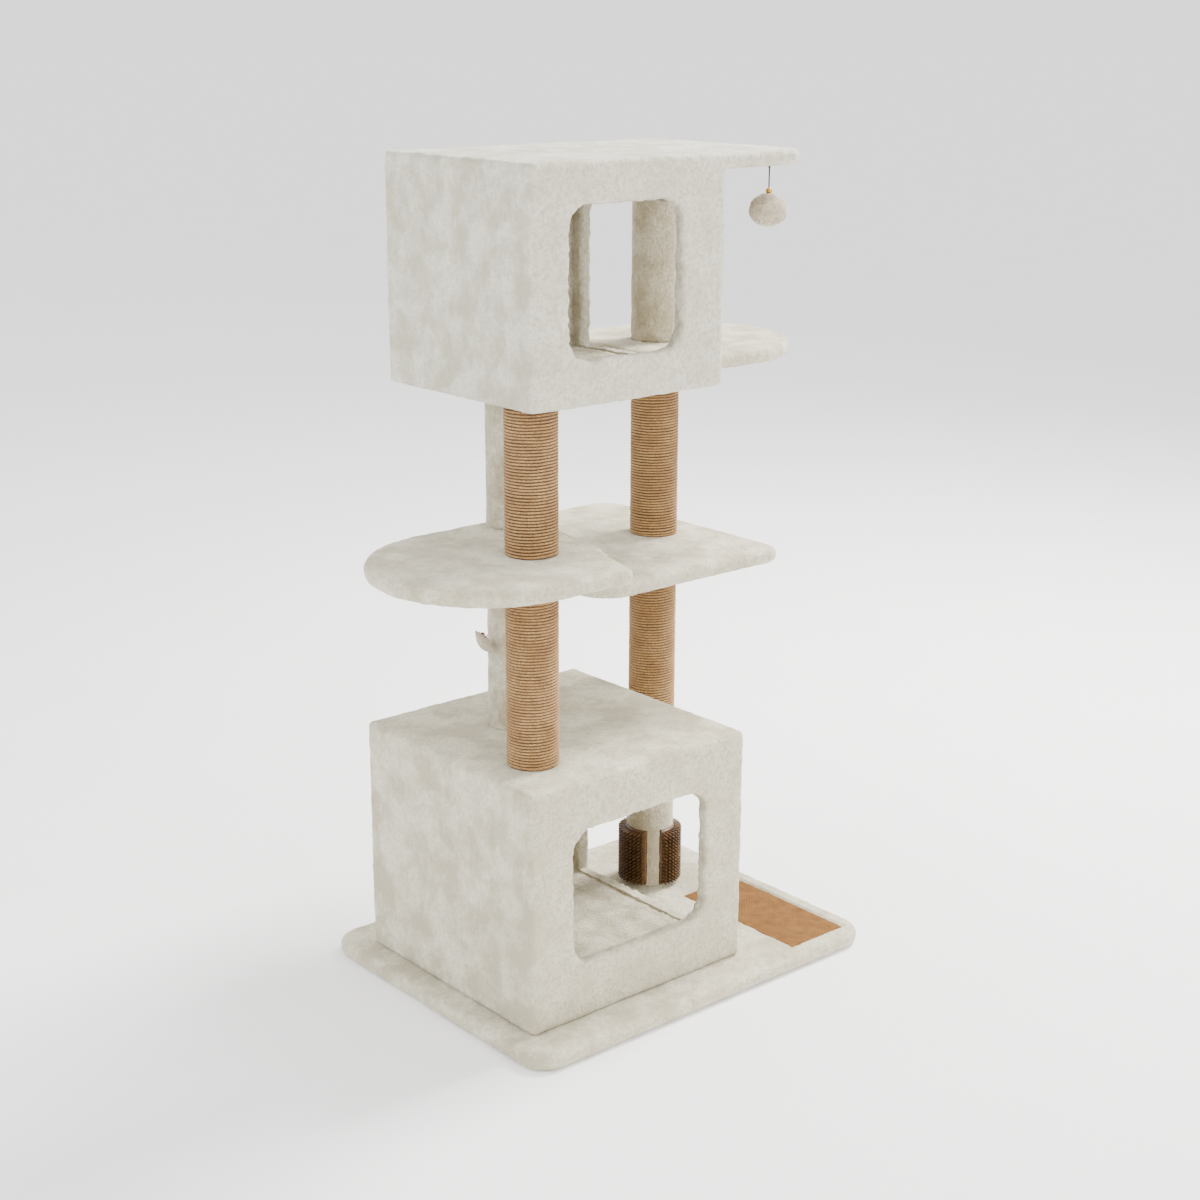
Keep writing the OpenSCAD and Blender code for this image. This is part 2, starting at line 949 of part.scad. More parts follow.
// Radius of the mouse at a share u of the way from its tail end to its nose.
function mouse_radius(u) = mouse_w / 2 * pow(sin(180 * pow(u, 0.8)), 0.75);

module mouse_tail() {
    color(plush) at_mouse() translate([0, 0, mouse_gap])
        cylinder(h = mouse_start - mouse_gap, r = 1.2);
}

module mouse_body() {
    steps = 14;
    color(plush) at_mouse() difference() {
        translate([0, 0, mouse_start]) rotate_extrude($fn = 32) polygon(concat(
            [[0, 0]],
            [[1.6, 0]],
            [for (k = [1 : steps - 1]) [mouse_radius(k / steps) + 0.4, k / steps * mouse_l]],
            [[0, mouse_l]]));
        mouse_eye_spheres(0);
        mouse_ear_discs(0);
    }
}

module mouse_eye_spheres(grow) {
    for (side = [-1, 1]) translate([-5.4, side * 4.6, mouse_start + mouse_l * 0.80])
        sphere(1.5 + grow, $fn = 24);
}

// Round ears that stand on the mouse's back, leaning outwards.
module mouse_ear_discs(grow) {
    for (side = [-1, 1]) translate([-8.4, side * 5.6, mouse_start + mouse_l * 0.62])
        rotate([side * 35, 0, 0])
            cylinder(h = 1.2, r = 4.4 + grow, $fn = 32, center = true);
}

module mouse_eyes() {
    color([0.05, 0.05, 0.05]) at_mouse() mouse_eye_spheres(0);
}

module mouse_ears() {
    color([0.62, 0.12, 0.12]) at_mouse() mouse_ear_discs(0);
}

base_board();
base_cover();
scratch_mat();
low_floor();
low_front();
low_back();
low_left();
low_right();
low_roof();
low_cover();
low_lining();
up_floor();
up_front();
up_back();
up_left();
up_right();
up_cover();
up_lining();
top_board();
top_cover();
left_shelf_board();
left_shelf_cover();
right_shelf_board();
right_shelf_cover();
perch_board();
perch_cover();
tube_front_low();
tube_front_high();
tube_rear_low();
tube_rear_high();
tube_right_1();
tube_right_2();
tube_right_3();
tube_right_4();
rope_front_low();
rope_front_high();
rope_right_2();
rope_right_3();
plush_rear_low();
plush_rear_high();
plush_right_1();
plush_right_4();
post_plugs();
joint_studs();
post_bolts();
post_washers();
condo_bolts();
panel_screws();
groomer_left();
groomer_right();
groomer_screws();
string_anchor();
string_knot();
ball_string();
ball_bead();
toy_ball();
mouse_tail();
mouse_body();
mouse_ears();
mouse_eyes();
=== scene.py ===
"""The cat tree's looks: plush skins, wound jute rope, woven mat, bristles and toys.

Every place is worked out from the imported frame, in metres, with +Z up. The windows face
-Y. A plush skin is a welded grid whose pile is raised along its normals by noise."""

import json

import bpy
import numpy as np
from mathutils import Matrix, Vector


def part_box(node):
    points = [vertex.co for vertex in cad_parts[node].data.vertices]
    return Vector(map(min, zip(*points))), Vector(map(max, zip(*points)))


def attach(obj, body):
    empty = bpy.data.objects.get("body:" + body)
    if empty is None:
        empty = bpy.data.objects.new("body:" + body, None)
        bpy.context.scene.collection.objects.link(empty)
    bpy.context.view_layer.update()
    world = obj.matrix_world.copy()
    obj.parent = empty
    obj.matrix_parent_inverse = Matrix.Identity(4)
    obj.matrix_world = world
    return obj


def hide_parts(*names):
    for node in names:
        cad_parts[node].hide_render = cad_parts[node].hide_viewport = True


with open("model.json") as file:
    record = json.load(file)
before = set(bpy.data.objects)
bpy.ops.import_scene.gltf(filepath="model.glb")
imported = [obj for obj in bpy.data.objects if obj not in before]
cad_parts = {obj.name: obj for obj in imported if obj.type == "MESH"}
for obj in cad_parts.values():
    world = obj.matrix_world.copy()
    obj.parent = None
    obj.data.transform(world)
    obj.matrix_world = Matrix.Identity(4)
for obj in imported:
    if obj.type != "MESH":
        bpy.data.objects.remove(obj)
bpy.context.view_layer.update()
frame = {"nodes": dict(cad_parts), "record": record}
scene = bpy.context.scene

MM = 0.001
TAU = 2 * np.pi
PLUSH = 4 * MM
WALL = 23 * MM
TOP_BOARD = 25 * MM
CONDO_EDGE = 9 * MM
HOLE_CORNER = 38 * MM
RIM = 12 * MM
SLAB_STEP = 4.4 * MM
SHELF_CORNER = 14 * MM
ROPE_PITCH = 5 * MM
BRISTLE_PITCH = 7 * MM
MAT_STRANDS = (30, 64)
FRONT_JOIN = -51 * MM
MOUSE_HEIGHT = 571 * MM


# ---------------------------------------------------------------- camera


def make_camera():
    """A camera at the front left, a little above the upper condo, looking down 16 degrees."""
    place = (-2.091, -2.4335, 1.582)
    turn, down, roll = np.radians([40.62, 16.35, 0.21])
    forward = Vector((np.sin(turn) * np.cos(down), np.cos(turn) * np.cos(down), -np.sin(down)))
    right = Vector((np.cos(turn), -np.sin(turn), 0.0))
    up = right.cross(forward)
    right, up = (
        np.cos(roll) * right + np.sin(roll) * up,
        -np.sin(roll) * right + np.cos(roll) * up,
    )
    data = bpy.data.cameras.new("camera")
    data.sensor_width = 36
    data.lens = 59.29
    data.clip_end = 100
    camera = bpy.data.objects.new("camera", data)
    scene.collection.objects.link(camera)
    axes = Matrix((right, up, -forward)).transposed()
    camera.matrix_world = Matrix.Translation(place) @ axes.to_4x4()
    scene.camera = camera


make_camera()


# ---------------------------------------------------------------- noise and meshes


def lattice(cell, seed):
    """A repeatable value from 0 to 1 for every whole-number cell: a mixed integer hash."""
    x, y, z = (cell[..., k].astype(np.uint64) for k in range(3))
    h = x * np.uint64(374761393) + y * np.uint64(668265263) + z * np.uint64(1440662683)
    h = (h + np.uint64(seed * 1274126177 & 0xFFFFFFFF)) & np.uint64(0xFFFFFFFF)
    h = ((h ^ (h >> np.uint64(13))) * np.uint64(1274126177)) & np.uint64(0xFFFFFFFF)
    h = h ^ (h >> np.uint64(16))
    return h.astype(np.float64) / 4294967295.0


def noise(p, size, seed=0):
    """Smooth noise from -1 to 1 with bumps about size across: cell corners blended."""
    q = p / size + 1000.0
    cell = np.floor(q).astype(np.int64)
    f = q - cell
    f = f * f * (3 - 2 * f)
    total = np.zeros(p.shape[:-1])
    for corner in np.ndindex(2, 2, 2):
        c = np.array(corner)
        weight = np.prod(np.where(c == 1, f, 1 - f), axis=-1)
        total += weight * lattice(cell + c, seed)
    return 2 * total - 1


def layered(p, size, seed=0, layers=3):
    """Noise added to itself at half the size and half the height, layers times."""
    return sum(noise(p, size / 2**k, seed + k) / 2**k for k in range(layers))


def grid_faces(n, m, start):
    """The four-cornered faces of an n by m grid of points."""
    i, j = np.meshgrid(np.arange(n - 1), np.arange(m - 1), indexing="ij")
    a = (start + i * m + j).ravel()
    return np.stack([a, a + m, a + m + 1, a + 1], axis=1)


def round_border(grid):
    """The points round a grid's border, once about it from its low corner and back there."""
    return np.concatenate([grid[:, 0], grid[-1, 1:], grid[-2::-1, -1], grid[0, -2::-1]])


def weld(patches):
    """Joins grids of points into one closed surface: points that meet become one point,
    and a face that lost a side to a pole becomes a triangle."""
    points, faces, start = [], [], 0
    for grid, flip in patches:
        n, m = grid.shape[:2]
        f = grid_faces(n, m, start)
        points.append(grid.reshape(-1, 3))
        faces.append(f[:, ::-1] if flip else f)
        start += n * m
    points, faces = np.concatenate(points), np.concatenate(faces)
    key = np.round(points / 2e-5 + 0.13).astype(np.int64)
    first, inverse = np.unique(key, axis=0, return_index=True, return_inverse=True)[1:]
    points, faces = points[first], inverse.reshape(-1)[faces]
    same = faces == np.roll(faces, -1, axis=1)
    quads = faces[same.sum(1) == 0]
    short, gap = faces[same.sum(1) == 1], same[same.sum(1) == 1]
    keep = (np.argmax(gap, axis=1)[:, None] + np.array([1, 2, 3])) % 4
    return points, quads, np.take_along_axis(short, keep, axis=1)


def normals(points, quads, tris):
    """The outward direction at every point: the mean of its faces' normals."""
    out = np.zeros_like(points)
    for faces, (a, b, c, d) in ((quads, (0, 2, 1, 3)), (tris, (0, 1, 0, 2))):
        if len(faces):
            across = points[faces[:, b]] - points[faces[:, a]]
            along = points[faces[:, d]] - points[faces[:, c]]
            n = np.cross(across, along)
            for k in range(faces.shape[1]):
                for axis in range(3):
                    out[:, axis] += np.bincount(faces[:, k], n[:, axis], len(points))
    return out / np.maximum(np.linalg.norm(out, axis=1, keepdims=True), 1e-12)


def mesh_piece(name, points, quads, tris, material, body="tree", uv=None):
    """A new piece from points and faces, smooth shaded, riding on a body."""
    mesh = bpy.data.meshes.new(name)
    mesh.vertices.add(len(points))
    mesh.vertices.foreach_set("co", np.asarray(points, np.float32).ravel())
    corners = np.concatenate([np.ravel(quads), np.ravel(tris)]).astype(np.int32)
    sizes = np.concatenate([np.full(len(quads), 4), np.full(len(tris), 3)]).astype(np.int32)
    mesh.loops.add(len(corners))
    mesh.loops.foreach_set("vertex_index", corners)
    mesh.polygons.add(len(sizes))
    mesh.polygons.foreach_set("loop_start", (np.cumsum(sizes) - sizes).astype(np.int32))
    mesh.polygons.foreach_set("loop_total", sizes)
    mesh.polygons.foreach_set("use_smooth", np.ones(len(sizes), bool))
    if uv is not None:
        layer = mesh.uv_layers.new(name="along")
        layer.data.foreach_set("uv", np.asarray(uv[corners], np.float32).ravel())
    mesh.update()
    mesh.validate()
    mesh.materials.append(material)
    piece = bpy.data.objects.new(name, mesh)
    scene.collection.objects.link(piece)
    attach(piece, body)
    return piece


def pile(points, quads, tris, height, seed):
    """Raises plush along its normals by slow waves and by tufts 11 mm and 7 mm across. The
    hollows between the tufts are cut off level."""
    n = normals(points, quads, tris)
    lift = 0.5 * layered(points, 70 * MM, seed, 2)
    lift += 0.45 * noise(points, 11 * MM, seed + 5)
    lift += 0.75 * noise(points, 7 * MM, seed + 6)
    lift = np.maximum(lift, -0.6) + 0.3
    return points + n * (lift * height * MM)[:, None]


# ---------------------------------------------------------------- plush slabs


def side_lines(low, high, rim, step, breaks=()):
    """Places for grid lines across a side: close over the rounded rims, even between,
    and three close together at each break."""
    arc = rim * (1 - np.sin(np.radians([18, 36, 54, 72, 90])))
    ends = [low + rim, *breaks, high - rim]
    inner = []
    for a, b in zip(ends[:-1], ends[1:]):
        count = max(2, int(round((b - a) / step)))
        inner.append(np.linspace(a, b, count + 1)[:-1])
    close = [b + s * MM for b in breaks for s in (-2.5, 2.5)]
    lines = np.concatenate([low + arc, *inner, [high - rim], high - arc, close])
    return np.unique(np.round(lines, 7))


def round_plan(x, y, box, radii):
    """Turns the corners of a rectangle's grid into quarter discs. In each corner's square
    a point keeps the larger of its two offsets as its distance from the disc's centre."""
    x0, y0, x1, y1 = box
    x, y = x.copy(), y.copy()
    corners = [(x0, y0, 1, 1), (x1, y0, -1, 1), (x1, y1, -1, -1), (x0, y1, 1, -1)]
    for (cx, cy, sx, sy), r in zip(corners, radii):
        a = r - (x - cx) * sx
        b = r - (y - cy) * sy
        inside = (a > 0) & (b > 0)
        scale = np.maximum(a, b) / np.maximum(np.hypot(a, b), 1e-12)
        x = np.where(inside, cx + sx * (r - a * scale), x)
        y = np.where(inside, cy + sy * (r - b * scale), y)
    return x, y


def slab_surface(box, z0, z1, radii, rim, step, breaks=((), ())):
    """A slab with rounded corners and rims, as welded grids: over the rim, the height falls
    along a quarter circle with the distance to the slab's edge."""
    x0, y0, x1, y1 = box
    xs = side_lines(x0, x1, rim, step, breaks[0])
    ys = side_lines(y0, y1, rim, step, breaks[1])
    x, y = np.meshgrid(xs, ys, indexing="ij")
    edge = np.minimum(np.minimum(x - x0, x1 - x), np.minimum(y - y0, y1 - y))
    edge = np.where(edge < 1e-6, 0, edge)
    short = np.clip(rim - edge, 0, rim)
    drop = rim - np.sqrt(rim * rim - short * short)
    px, py = round_plan(x, y, box, radii)
    top = np.stack([px, py, z1 - drop], axis=2)
    bottom = np.stack([px, py, z0 + drop], axis=2)
    ring = round_border(top)
    rows = max(2, int(round((z1 - z0 - 2 * rim) / step)) + 1)
    heights = np.linspace(z0 + rim, z1 - rim, rows)
    band = np.repeat(ring[:, None], rows, axis=1)
    band[:, :, 2] = heights
    return weld([(top, False), (bottom, True), (band, False)])


def plan_box(node):
    """A node's lowest x and y and its highest x and y."""
    low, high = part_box(node)
    return (low.x, low.y, high.x, high.y)


# ---------------------------------------------------------------- condos


def cube_lines(length, edge, step):
    """Grid lines along a box's side: three closer ones over each rounded edge."""
    near = edge * (1 - np.tan(np.radians([45, 30, 15])))
    count = max(2, int(round((length - 2 * edge) / step)))
    return np.concatenate([near, np.linspace(edge, length - edge, count + 1), length - near[::-1]])


def rounded(points, size, edge):
    """Rounds a box's edges: each point of the box is pulled to within edge of the smaller
    box that lies edge inside it."""
    core = np.clip(points, edge, np.array(size) - edge)
    away = points - core
    return core + edge * away / np.maximum(np.linalg.norm(away, axis=-1, keepdims=True), 1e-12)


def face_loop(a, b):
    """The border of a face with grid lines a and b, anticlockwise from its low corner."""
    u = np.concatenate([a, np.full(len(b) - 1, a[-1]), a[-2::-1], np.full(len(b) - 1, a[0])])
    v = np.concatenate([np.full(len(a), b[0]), b[1:], np.full(len(a) - 1, b[-1]), b[-2::-1]])
    return u, v


def hole_loop(u, v, hole, radii, grow, sill=0.0):
    """A hole's outline, one point for each point of a face's border: the border is shrunk to
    the hole's rectangle, and its corners are rounded. The hole is wider by grow all round,
    but a sill of one keeps its lower side where it is."""
    a0, b0, a1, b1 = hole
    a0, b0, a1, b1 = a0 - grow, b0 - grow * (1 - sill), a1 + grow, b1 + grow
    x = a0 + (u - u.min()) / (u.max() - u.min()) * (a1 - a0)
    y = b0 + (v - v.min()) / (v.max() - v.min()) * (b1 - b0)
    return round_plan(x, y, (a0, b0, a1, b1), np.array(radii) + grow)


def between(outer, inner, rows):
    """Rows of points from an outer loop to an inner one."""
    w = np.linspace(0, 1, rows)[None, :, None]
    return outer[:, None] * (1 - w) + inner[:, None] * w


def on_face(u, v, depth, face):
    """Points of a face from its two coordinates and its depth: the front or the right."""
    depth = np.full_like(u, depth) if np.isscalar(depth) else depth
    order = {"front": (u, depth, v), "right": (depth, u, v)}[face]
    return np.stack(order, axis=-1)


def opened_wall(face, outer, inner, offset, hole, radii, rows, sill=0.0):
    """The outside of a wall round a hole, the hole's rounded lips and the inside of the wall.
    outer and inner are (lines a, lines b, size, edge, depth) of the two boxes, and offset is
    the inner one's low corner. Each lip is a quarter circle."""
    lip = 8 * MM
    a, b, size, edge, depth = outer
    a2, b2, size2, edge2, depth2 = inner
    u, v = face_loop(a, b)
    border = on_face(u, v, depth, face)
    mouth = on_face(*hole_loop(u, v, hole, radii, lip), depth, face)
    outside = rounded(between(border, mouth, rows), size, edge)
    turns = np.radians([0, 22.5, 45, 67.5, 90])
    way = 1 if depth2 > depth else -1
    thick = abs(depth2 - depth)
    steps = [(lip * (1 - np.sin(t)), lip * (1 - np.cos(t)), 0) for t in turns]
    steps += [(0, d, 0) for d in np.linspace(lip, thick - lip, 4)[1:-1]]
    steps += [(lip * (1 - np.sin(t)), thick - lip * (1 - np.cos(t)), sill) for t in turns[::-1]]
    loops = [(hole_loop(u, v, hole, radii, g, s), depth + way * d) for g, d, s in steps]
    reveal = np.stack([on_face(*loop, d, face) for loop, d in loops], axis=1)
    far = on_face(*face_loop(a2, b2), depth2, face)
    mouth = on_face(*hole_loop(u, v, hole, radii, lip, sill), depth2, face)
    inside = rounded(between(mouth, far, rows) - offset, size2, edge2) + offset
    return [(outside, False), (reveal, False), (inside, False)]


def box_faces(xs, ys, zs, leave):
    """The six faces of a box as grids that face outwards, without those named in leave."""
    w, d, h = xs[-1], ys[-1], zs[-1]
    faces = {}
    x, y = np.meshgrid(xs, ys, indexing="ij")
    faces["top"] = (np.stack([x, y, np.full_like(x, h)], 2), False)
    faces["bottom"] = (np.stack([x, y, np.zeros_like(x)], 2), True)
    x, z = np.meshgrid(xs, zs, indexing="ij")
    faces["front"] = (np.stack([x, np.zeros_like(x), z], 2), False)
    faces["back"] = (np.stack([x, np.full_like(x, d), z], 2), True)
    y, z = np.meshgrid(ys, zs, indexing="ij")
    faces["left"] = (np.stack([np.zeros_like(y), y, z], 2), True)
    faces["right"] = (np.stack([np.full_like(y, w), y, z], 2), False)
    return [faces[f] for f in faces if f not in leave]


def condo_surface(low, size, offset, hollow, window, doorway, step):
    """A condo's plush, outside and inside as one closed surface: a rounded box and the
    hollow in it, joined through the window in front and the doorway on the right. offset is
    the hollow's low corner from the box's own. A window is (outline, corner radii)."""
    lines = [cube_lines(s, CONDO_EDGE, step) for s in size]
    xs, ys, zs = lines
    cx, cy, cz = (a / a[-1] * s for a, s in zip(lines, hollow))
    far = offset + hollow
    open_sides = ("front", "right")
    patches = [
        (rounded(g, size, CONDO_EDGE), flip)
        for g, flip in box_faces(xs, ys, zs, open_sides)
    ]
    patches += [
        (rounded(g, hollow, PLUSH) + offset, not flip)
        for g, flip in box_faces(cx, cy, cz, open_sides)
    ]
    patches += opened_wall(
        "front",
        (xs, zs, size, CONDO_EDGE, 0.0),
        (cx + offset[0], cz + offset[2], hollow, PLUSH, offset[1]),
        offset,
        *window,
        17,
    )
    patches += opened_wall(
        "right",
        (ys, zs, size, CONDO_EDGE, size[0]),
        (cy + offset[1], cz + offset[2], hollow, PLUSH, far[0]),
        offset,
        *doorway,
        12,
        1.0,
    )
    points, quads, tris = weld(patches)
    return points + low, quads, tris


# ---------------------------------------------------------------- materials


class Finish:
    """A material under construction: its nodes, its links and its shader."""

    def __init__(self, name, rough=0.9, **settings):
        self.material = bpy.data.materials.new(name)
        self.material.use_nodes = True
        self.nodes = self.material.node_tree.nodes
        self.links = self.material.node_tree.links
        self.nodes.clear()
        output = self.nodes.new("ShaderNodeOutputMaterial")
        self.shader = self.nodes.new("ShaderNodeBsdfPrincipled")
        self.links.new(self.shader.outputs[0], output.inputs[0])
        self.place = self.nodes.new("ShaderNodeTexCoord").outputs["Object"]
        self.shader.inputs["Roughness"].default_value = rough
        for socket, value in settings.items():
            self.shader.inputs[socket.replace("_", " ")].default_value = value
        self.normal = None

    def stretched(self, scale, turn=(0, 0, 0)):
        """The place scaled differently on each axis."""
        node = self.nodes.new("ShaderNodeMapping")
        node.inputs["Scale"].default_value = scale
        node.inputs["Rotation"].default_value = turn
        self.links.new(self.place, node.inputs["Vector"])
        return node.outputs[0]

    def noise(self, scale, detail=2.0, place=None, rough=0.5, warp=0.0):
        """Noise with that many cells to the metre."""
        node = self.nodes.new("ShaderNodeTexNoise")
        self.links.new(place or self.place, node.inputs["Vector"])
        node.inputs["Scale"].default_value = scale
        node.inputs["Detail"].default_value = detail
        node.inputs["Roughness"].default_value = rough
        node.inputs["Distortion"].default_value = warp
        return node.outputs[0]

    def spread(self, value, low, high, out_low=0.0, out_high=1.0):
        """Stretches the values from low to high over out_low to out_high."""
        node = self.nodes.new("ShaderNodeMapRange")
        self.links.new(value, node.inputs[0])
        for k, v in enumerate((low, high, out_low, out_high)):
            node.inputs[k + 1].default_value = v
        return node.outputs[0]

    def math(self, what, a, b):
        """The outcome of one operation on two values; either may be a number."""
        node = self.nodes.new("ShaderNodeMath")
        node.operation = what
        for k, v in enumerate((a, b)):
            if isinstance(v, (int, float)):
                node.inputs[k].default_value = v
            else:
                self.links.new(v, node.inputs[k])
        return node.outputs[0]

    def mix(self, share, a, b, blend="MIX"):
        """A colour between a and b; each is a colour or another node's output."""
        node = self.nodes.new("ShaderNodeMix")
        node.data_type = "RGBA"
        node.blend_type = blend
        for k, v in ((0, share), (6, a), (7, b)):
            if isinstance(v, tuple):
                node.inputs[k].default_value = (*v, 1)
            else:
                self.links.new(v, node.inputs[k])
        return node.outputs[2]

    def along(self):
        """The piece's own map, whose two values follow the strand or the weave."""
        node = self.nodes.new("ShaderNodeUVMap")
        node.uv_map = "along"
        return node.outputs[0]

    def split(self, vector):
        """The three values of a vector."""
        node = self.nodes.new("ShaderNodeSeparateXYZ")
        self.links.new(vector, node.inputs[0])
        return node.outputs

    def colour(self, value):
        """Gives the shader its colour from a node's output."""
        self.links.new(value, self.shader.inputs["Base Color"])

    def bump(self, height, distance, strength=1.0):
        """Adds relief of that height in metres over what is there already."""
        node = self.nodes.new("ShaderNodeBump")
        node.inputs["Strength"].default_value = strength
        node.inputs["Distance"].default_value = distance
        self.links.new(height, node.inputs["Height"])
        if self.normal:
            self.links.new(self.normal, node.inputs["Normal"])
        self.normal = node.outputs[0]
        self.links.new(self.normal, self.shader.inputs["Normal"])


def plush_finish(name, light, dark, patch=17.0, relief=1.0, sheen=0.3, tuft=170.0):
    """Short plush: patches where the nap lies one way or the other, wispy strokes between them,
    tufts and a fine fibre grain. The nap's patches and strokes are real; their lighter and darker
    tones are painted sheen. The hollows between the tufts are darkened with painted shade. On
    walls that face front or back the painted sheen is fainter and the painted shade between the
    tufts is deeper."""
    f = Finish(name, 0.95, Sheen_Weight=sheen, Sheen_Roughness=0.45, Specular_IOR_Level=0.1)
    facing = f.split(f.nodes.new("ShaderNodeTexCoord").outputs["Normal"])
    # front is one on walls that face front or back: there the painted sheen is fainter and the
    # painted shade between the tufts deeper.
    front = f.spread(f.math("ABSOLUTE", facing[1], 0.0), 0.75, 0.97)
    patches = f.spread(f.noise(patch, 4, rough=0.6, warp=0.15), 0.36, 0.64)
    strokes = f.noise(75, 3, f.stretched((1.0, 1.4, 0.8), (0.3, 0.2, 0.5)), 0.6, 0.25)
    tufts = f.noise(tuft, 2, rough=0.65)
    grain = f.noise(460, 3, rough=0.7)
    # The nap's patches and strokes, whose lighter and darker tones are painted sheen, fainter on
    # walls that face front or back.
    share = f.math("ADD", f.math("MULTIPLY", patches, 0.55), f.math("MULTIPLY", strokes, 0.45))
    even = f.math("ADD", f.math("MULTIPLY", share, 0.35), 0.36)
    brushed_sheen = f.math("MULTIPLY", share, f.math("SUBTRACT", 1.0, front))
    blend = f.math("ADD", f.math("MULTIPLY", even, front), brushed_sheen)
    tone = f.mix(f.spread(blend, 0.3, 0.7), dark, light)
    # Painted shade: the hollows between the tufts are darkened towards the dark tone, deepest on
    # walls that face front or back.
    gap_shade = f.spread(tufts, 0.34, 0.58, 0.95, 0.0)
    tone = f.mix(f.math("MULTIPLY", gap_shade, f.spread(front, 0.0, 1.0, 0.55, 1.0)), tone, dark)
    f.colour(f.mix(f.spread(grain, 0.3, 0.7, 0.42, 0.0), tone, (0.52, 0.48, 0.40), "MULTIPLY"))
    f.bump(strokes, 0.005 * relief, 0.4)
    f.bump(tufts, 0.0035 * relief, 0.8)
    f.bump(grain, 0.0012 * relief, 0.9)
    return f.material


def rope_finish():
    """Natural jute: a two-strand twist that runs round the cord and straw to brown fibres. Painted
    shade darkens the grooves of the twist and the cord's top, bottom and inner sides, where one
    turn lies on the next and against the post."""
    f = Finish("jute rope", 0.88, Sheen_Weight=0.12, Sheen_Roughness=0.5, Specular_IOR_Level=0.25)
    along = f.along()
    twist = f.nodes.new("ShaderNodeTexWave")
    twist.wave_type = "BANDS"
    twist.bands_direction = "DIAGONAL"
    f.links.new(along, twist.inputs["Vector"])
    twist.inputs["Scale"].default_value = 1.0
    twist.inputs["Distortion"].default_value = 1.4
    twist.inputs["Detail"].default_value = 2.0
    fibres = f.noise(900, 3, f.stretched((1.0, 1.0, 2.6)), 0.7)
    patches = f.spread(f.noise(22, 3, rough=0.6), 0.33, 0.68)
    tone = f.mix(patches, (0.58, 0.315, 0.105), (0.86, 0.54, 0.205))
    flecks = f.noise(330, 3, rough=0.75)
    tone = f.mix(f.spread(flecks, 0.36, 0.6, 0.75, 0.0), tone, (0.2, 0.095, 0.03))
    tone = f.mix(f.spread(fibres, 0.3, 0.75, 0.45, 0.0), tone, (0.22, 0.11, 0.04))
    # Painted shade in the grooves between the twist's strands.
    tone = f.mix(f.spread(twist.outputs["Fac"], 0.0, 0.5, 0.35, 0.0), tone, (0.2, 0.1, 0.045))
    # Painted shade on the cord's top, bottom and inner sides, where one turn lies on the next and
    # against the post; outward is one on the side that faces out.
    outward = f.math("COSINE", f.math("MULTIPLY", f.split(along)[1], TAU / 3), 0.0)
    tone = f.mix(f.spread(outward, 0.1, 0.85, 0.9, 0.0), tone, (0.1, 0.045, 0.015))
    f.colour(tone)
    f.bump(twist.outputs["Fac"], 0.0011, 0.7)
    f.bump(fibres, 0.0009, 0.8)
    return f.material


def simple_finish(name, light, dark, scale, rough=0.8, depth=0.0005, stretch=(1, 1, 1), **more):
    """A plain stuff: two tones in noise, stretched along its grain, with slight relief."""
    f = Finish(name, rough, **more)
    value = f.noise(scale, 4, f.stretched(stretch), 0.62, 0.3)
    f.colour(f.mix(f.spread(value, 0.3, 0.7), dark, light))
    f.bump(value, depth, 0.5)
    return f.material


def mat_finish():
    """Woven sisal: golden brown where a strand rises over another, and darkened with painted shade
    in the hollows between the strands.
    """
    f = Finish("sisal mat", 0.85, Specular_IOR_Level=0.2)
    height = f.split(f.along())[0]
    fibres = f.noise(900, 3, rough=0.7)
    patches = f.spread(f.noise(45, 3, rough=0.65), 0.35, 0.65)
    tone = f.mix(patches, (0.36, 0.155, 0.032), (0.54, 0.26, 0.058))
    tone = f.mix(f.spread(fibres, 0.3, 0.7, 0.5, 0.0), tone, (0.16, 0.06, 0.018))
    # Painted shade: the lower a strand lies in the weave, the darker it is painted.
    f.colour(f.mix(f.spread(height, 0.58, 0.95, 0.95, 0.0), tone, (0.04, 0.015, 0.005)))
    f.bump(fibres, 0.0006, 0.7)
    return f.material


def particle_board():
    """Pressed wood chips: flakes of a few millimetres, each its own shade of brown."""
    f = Finish("particle board", 0.85)
    cells = f.nodes.new("ShaderNodeTexVoronoi")
    f.links.new(f.stretched((1.0, 1.7, 1.0)), cells.inputs["Vector"])
    cells.inputs["Scale"].default_value = 260
    chip = f.spread(cells.outputs["Color"], 0.1, 0.9)
    f.colour(f.mix(chip, (0.34, 0.21, 0.11), (0.62, 0.45, 0.27)))
    f.bump(cells.outputs["Distance"], 0.0004, 0.6)
    return f.material


CREAM = (0.73, 0.695, 0.545)
CREAM_DARK = (0.49, 0.44, 0.315)
plush = plush_finish("plush", CREAM, CREAM_DARK)
plush_pale = plush_finish("plush of the upper condo", (0.75, 0.725, 0.61), (0.52, 0.48, 0.37))
plush_shaggy = plush_finish("plush by the doorway", CREAM, CREAM_DARK, 24, 1.6)
post_plush = plush_finish("post plush", (0.70, 0.655, 0.53), (0.45, 0.395, 0.275), 24, 1.2)
rope = rope_finish()
mat_fibre = mat_finish()
board = particle_board()
plug_wood = simple_finish(
    "plug wood", (0.6, 0.42, 0.24), (0.42, 0.27, 0.14), 90, 0.7, 0.0004, (6, 6, 1)
)
cardboard = simple_finish(
    "cardboard tube", (0.42, 0.29, 0.17), (0.33, 0.22, 0.12), 240, 0.85, 0.0002, (3, 3, 1)
)
steel = simple_finish(
    "zinc plated steel", (0.62, 0.62, 0.6), (0.5, 0.5, 0.49), 300, 0.35, 0.0001, Metallic=1.0
)
bristle_plastic = simple_finish(
    "groomer plastic",
    (0.13, 0.057, 0.012),
    (0.05, 0.021, 0.005),
    40,
    0.38,
    0.0002,
    Coat_Weight=0.15,
)
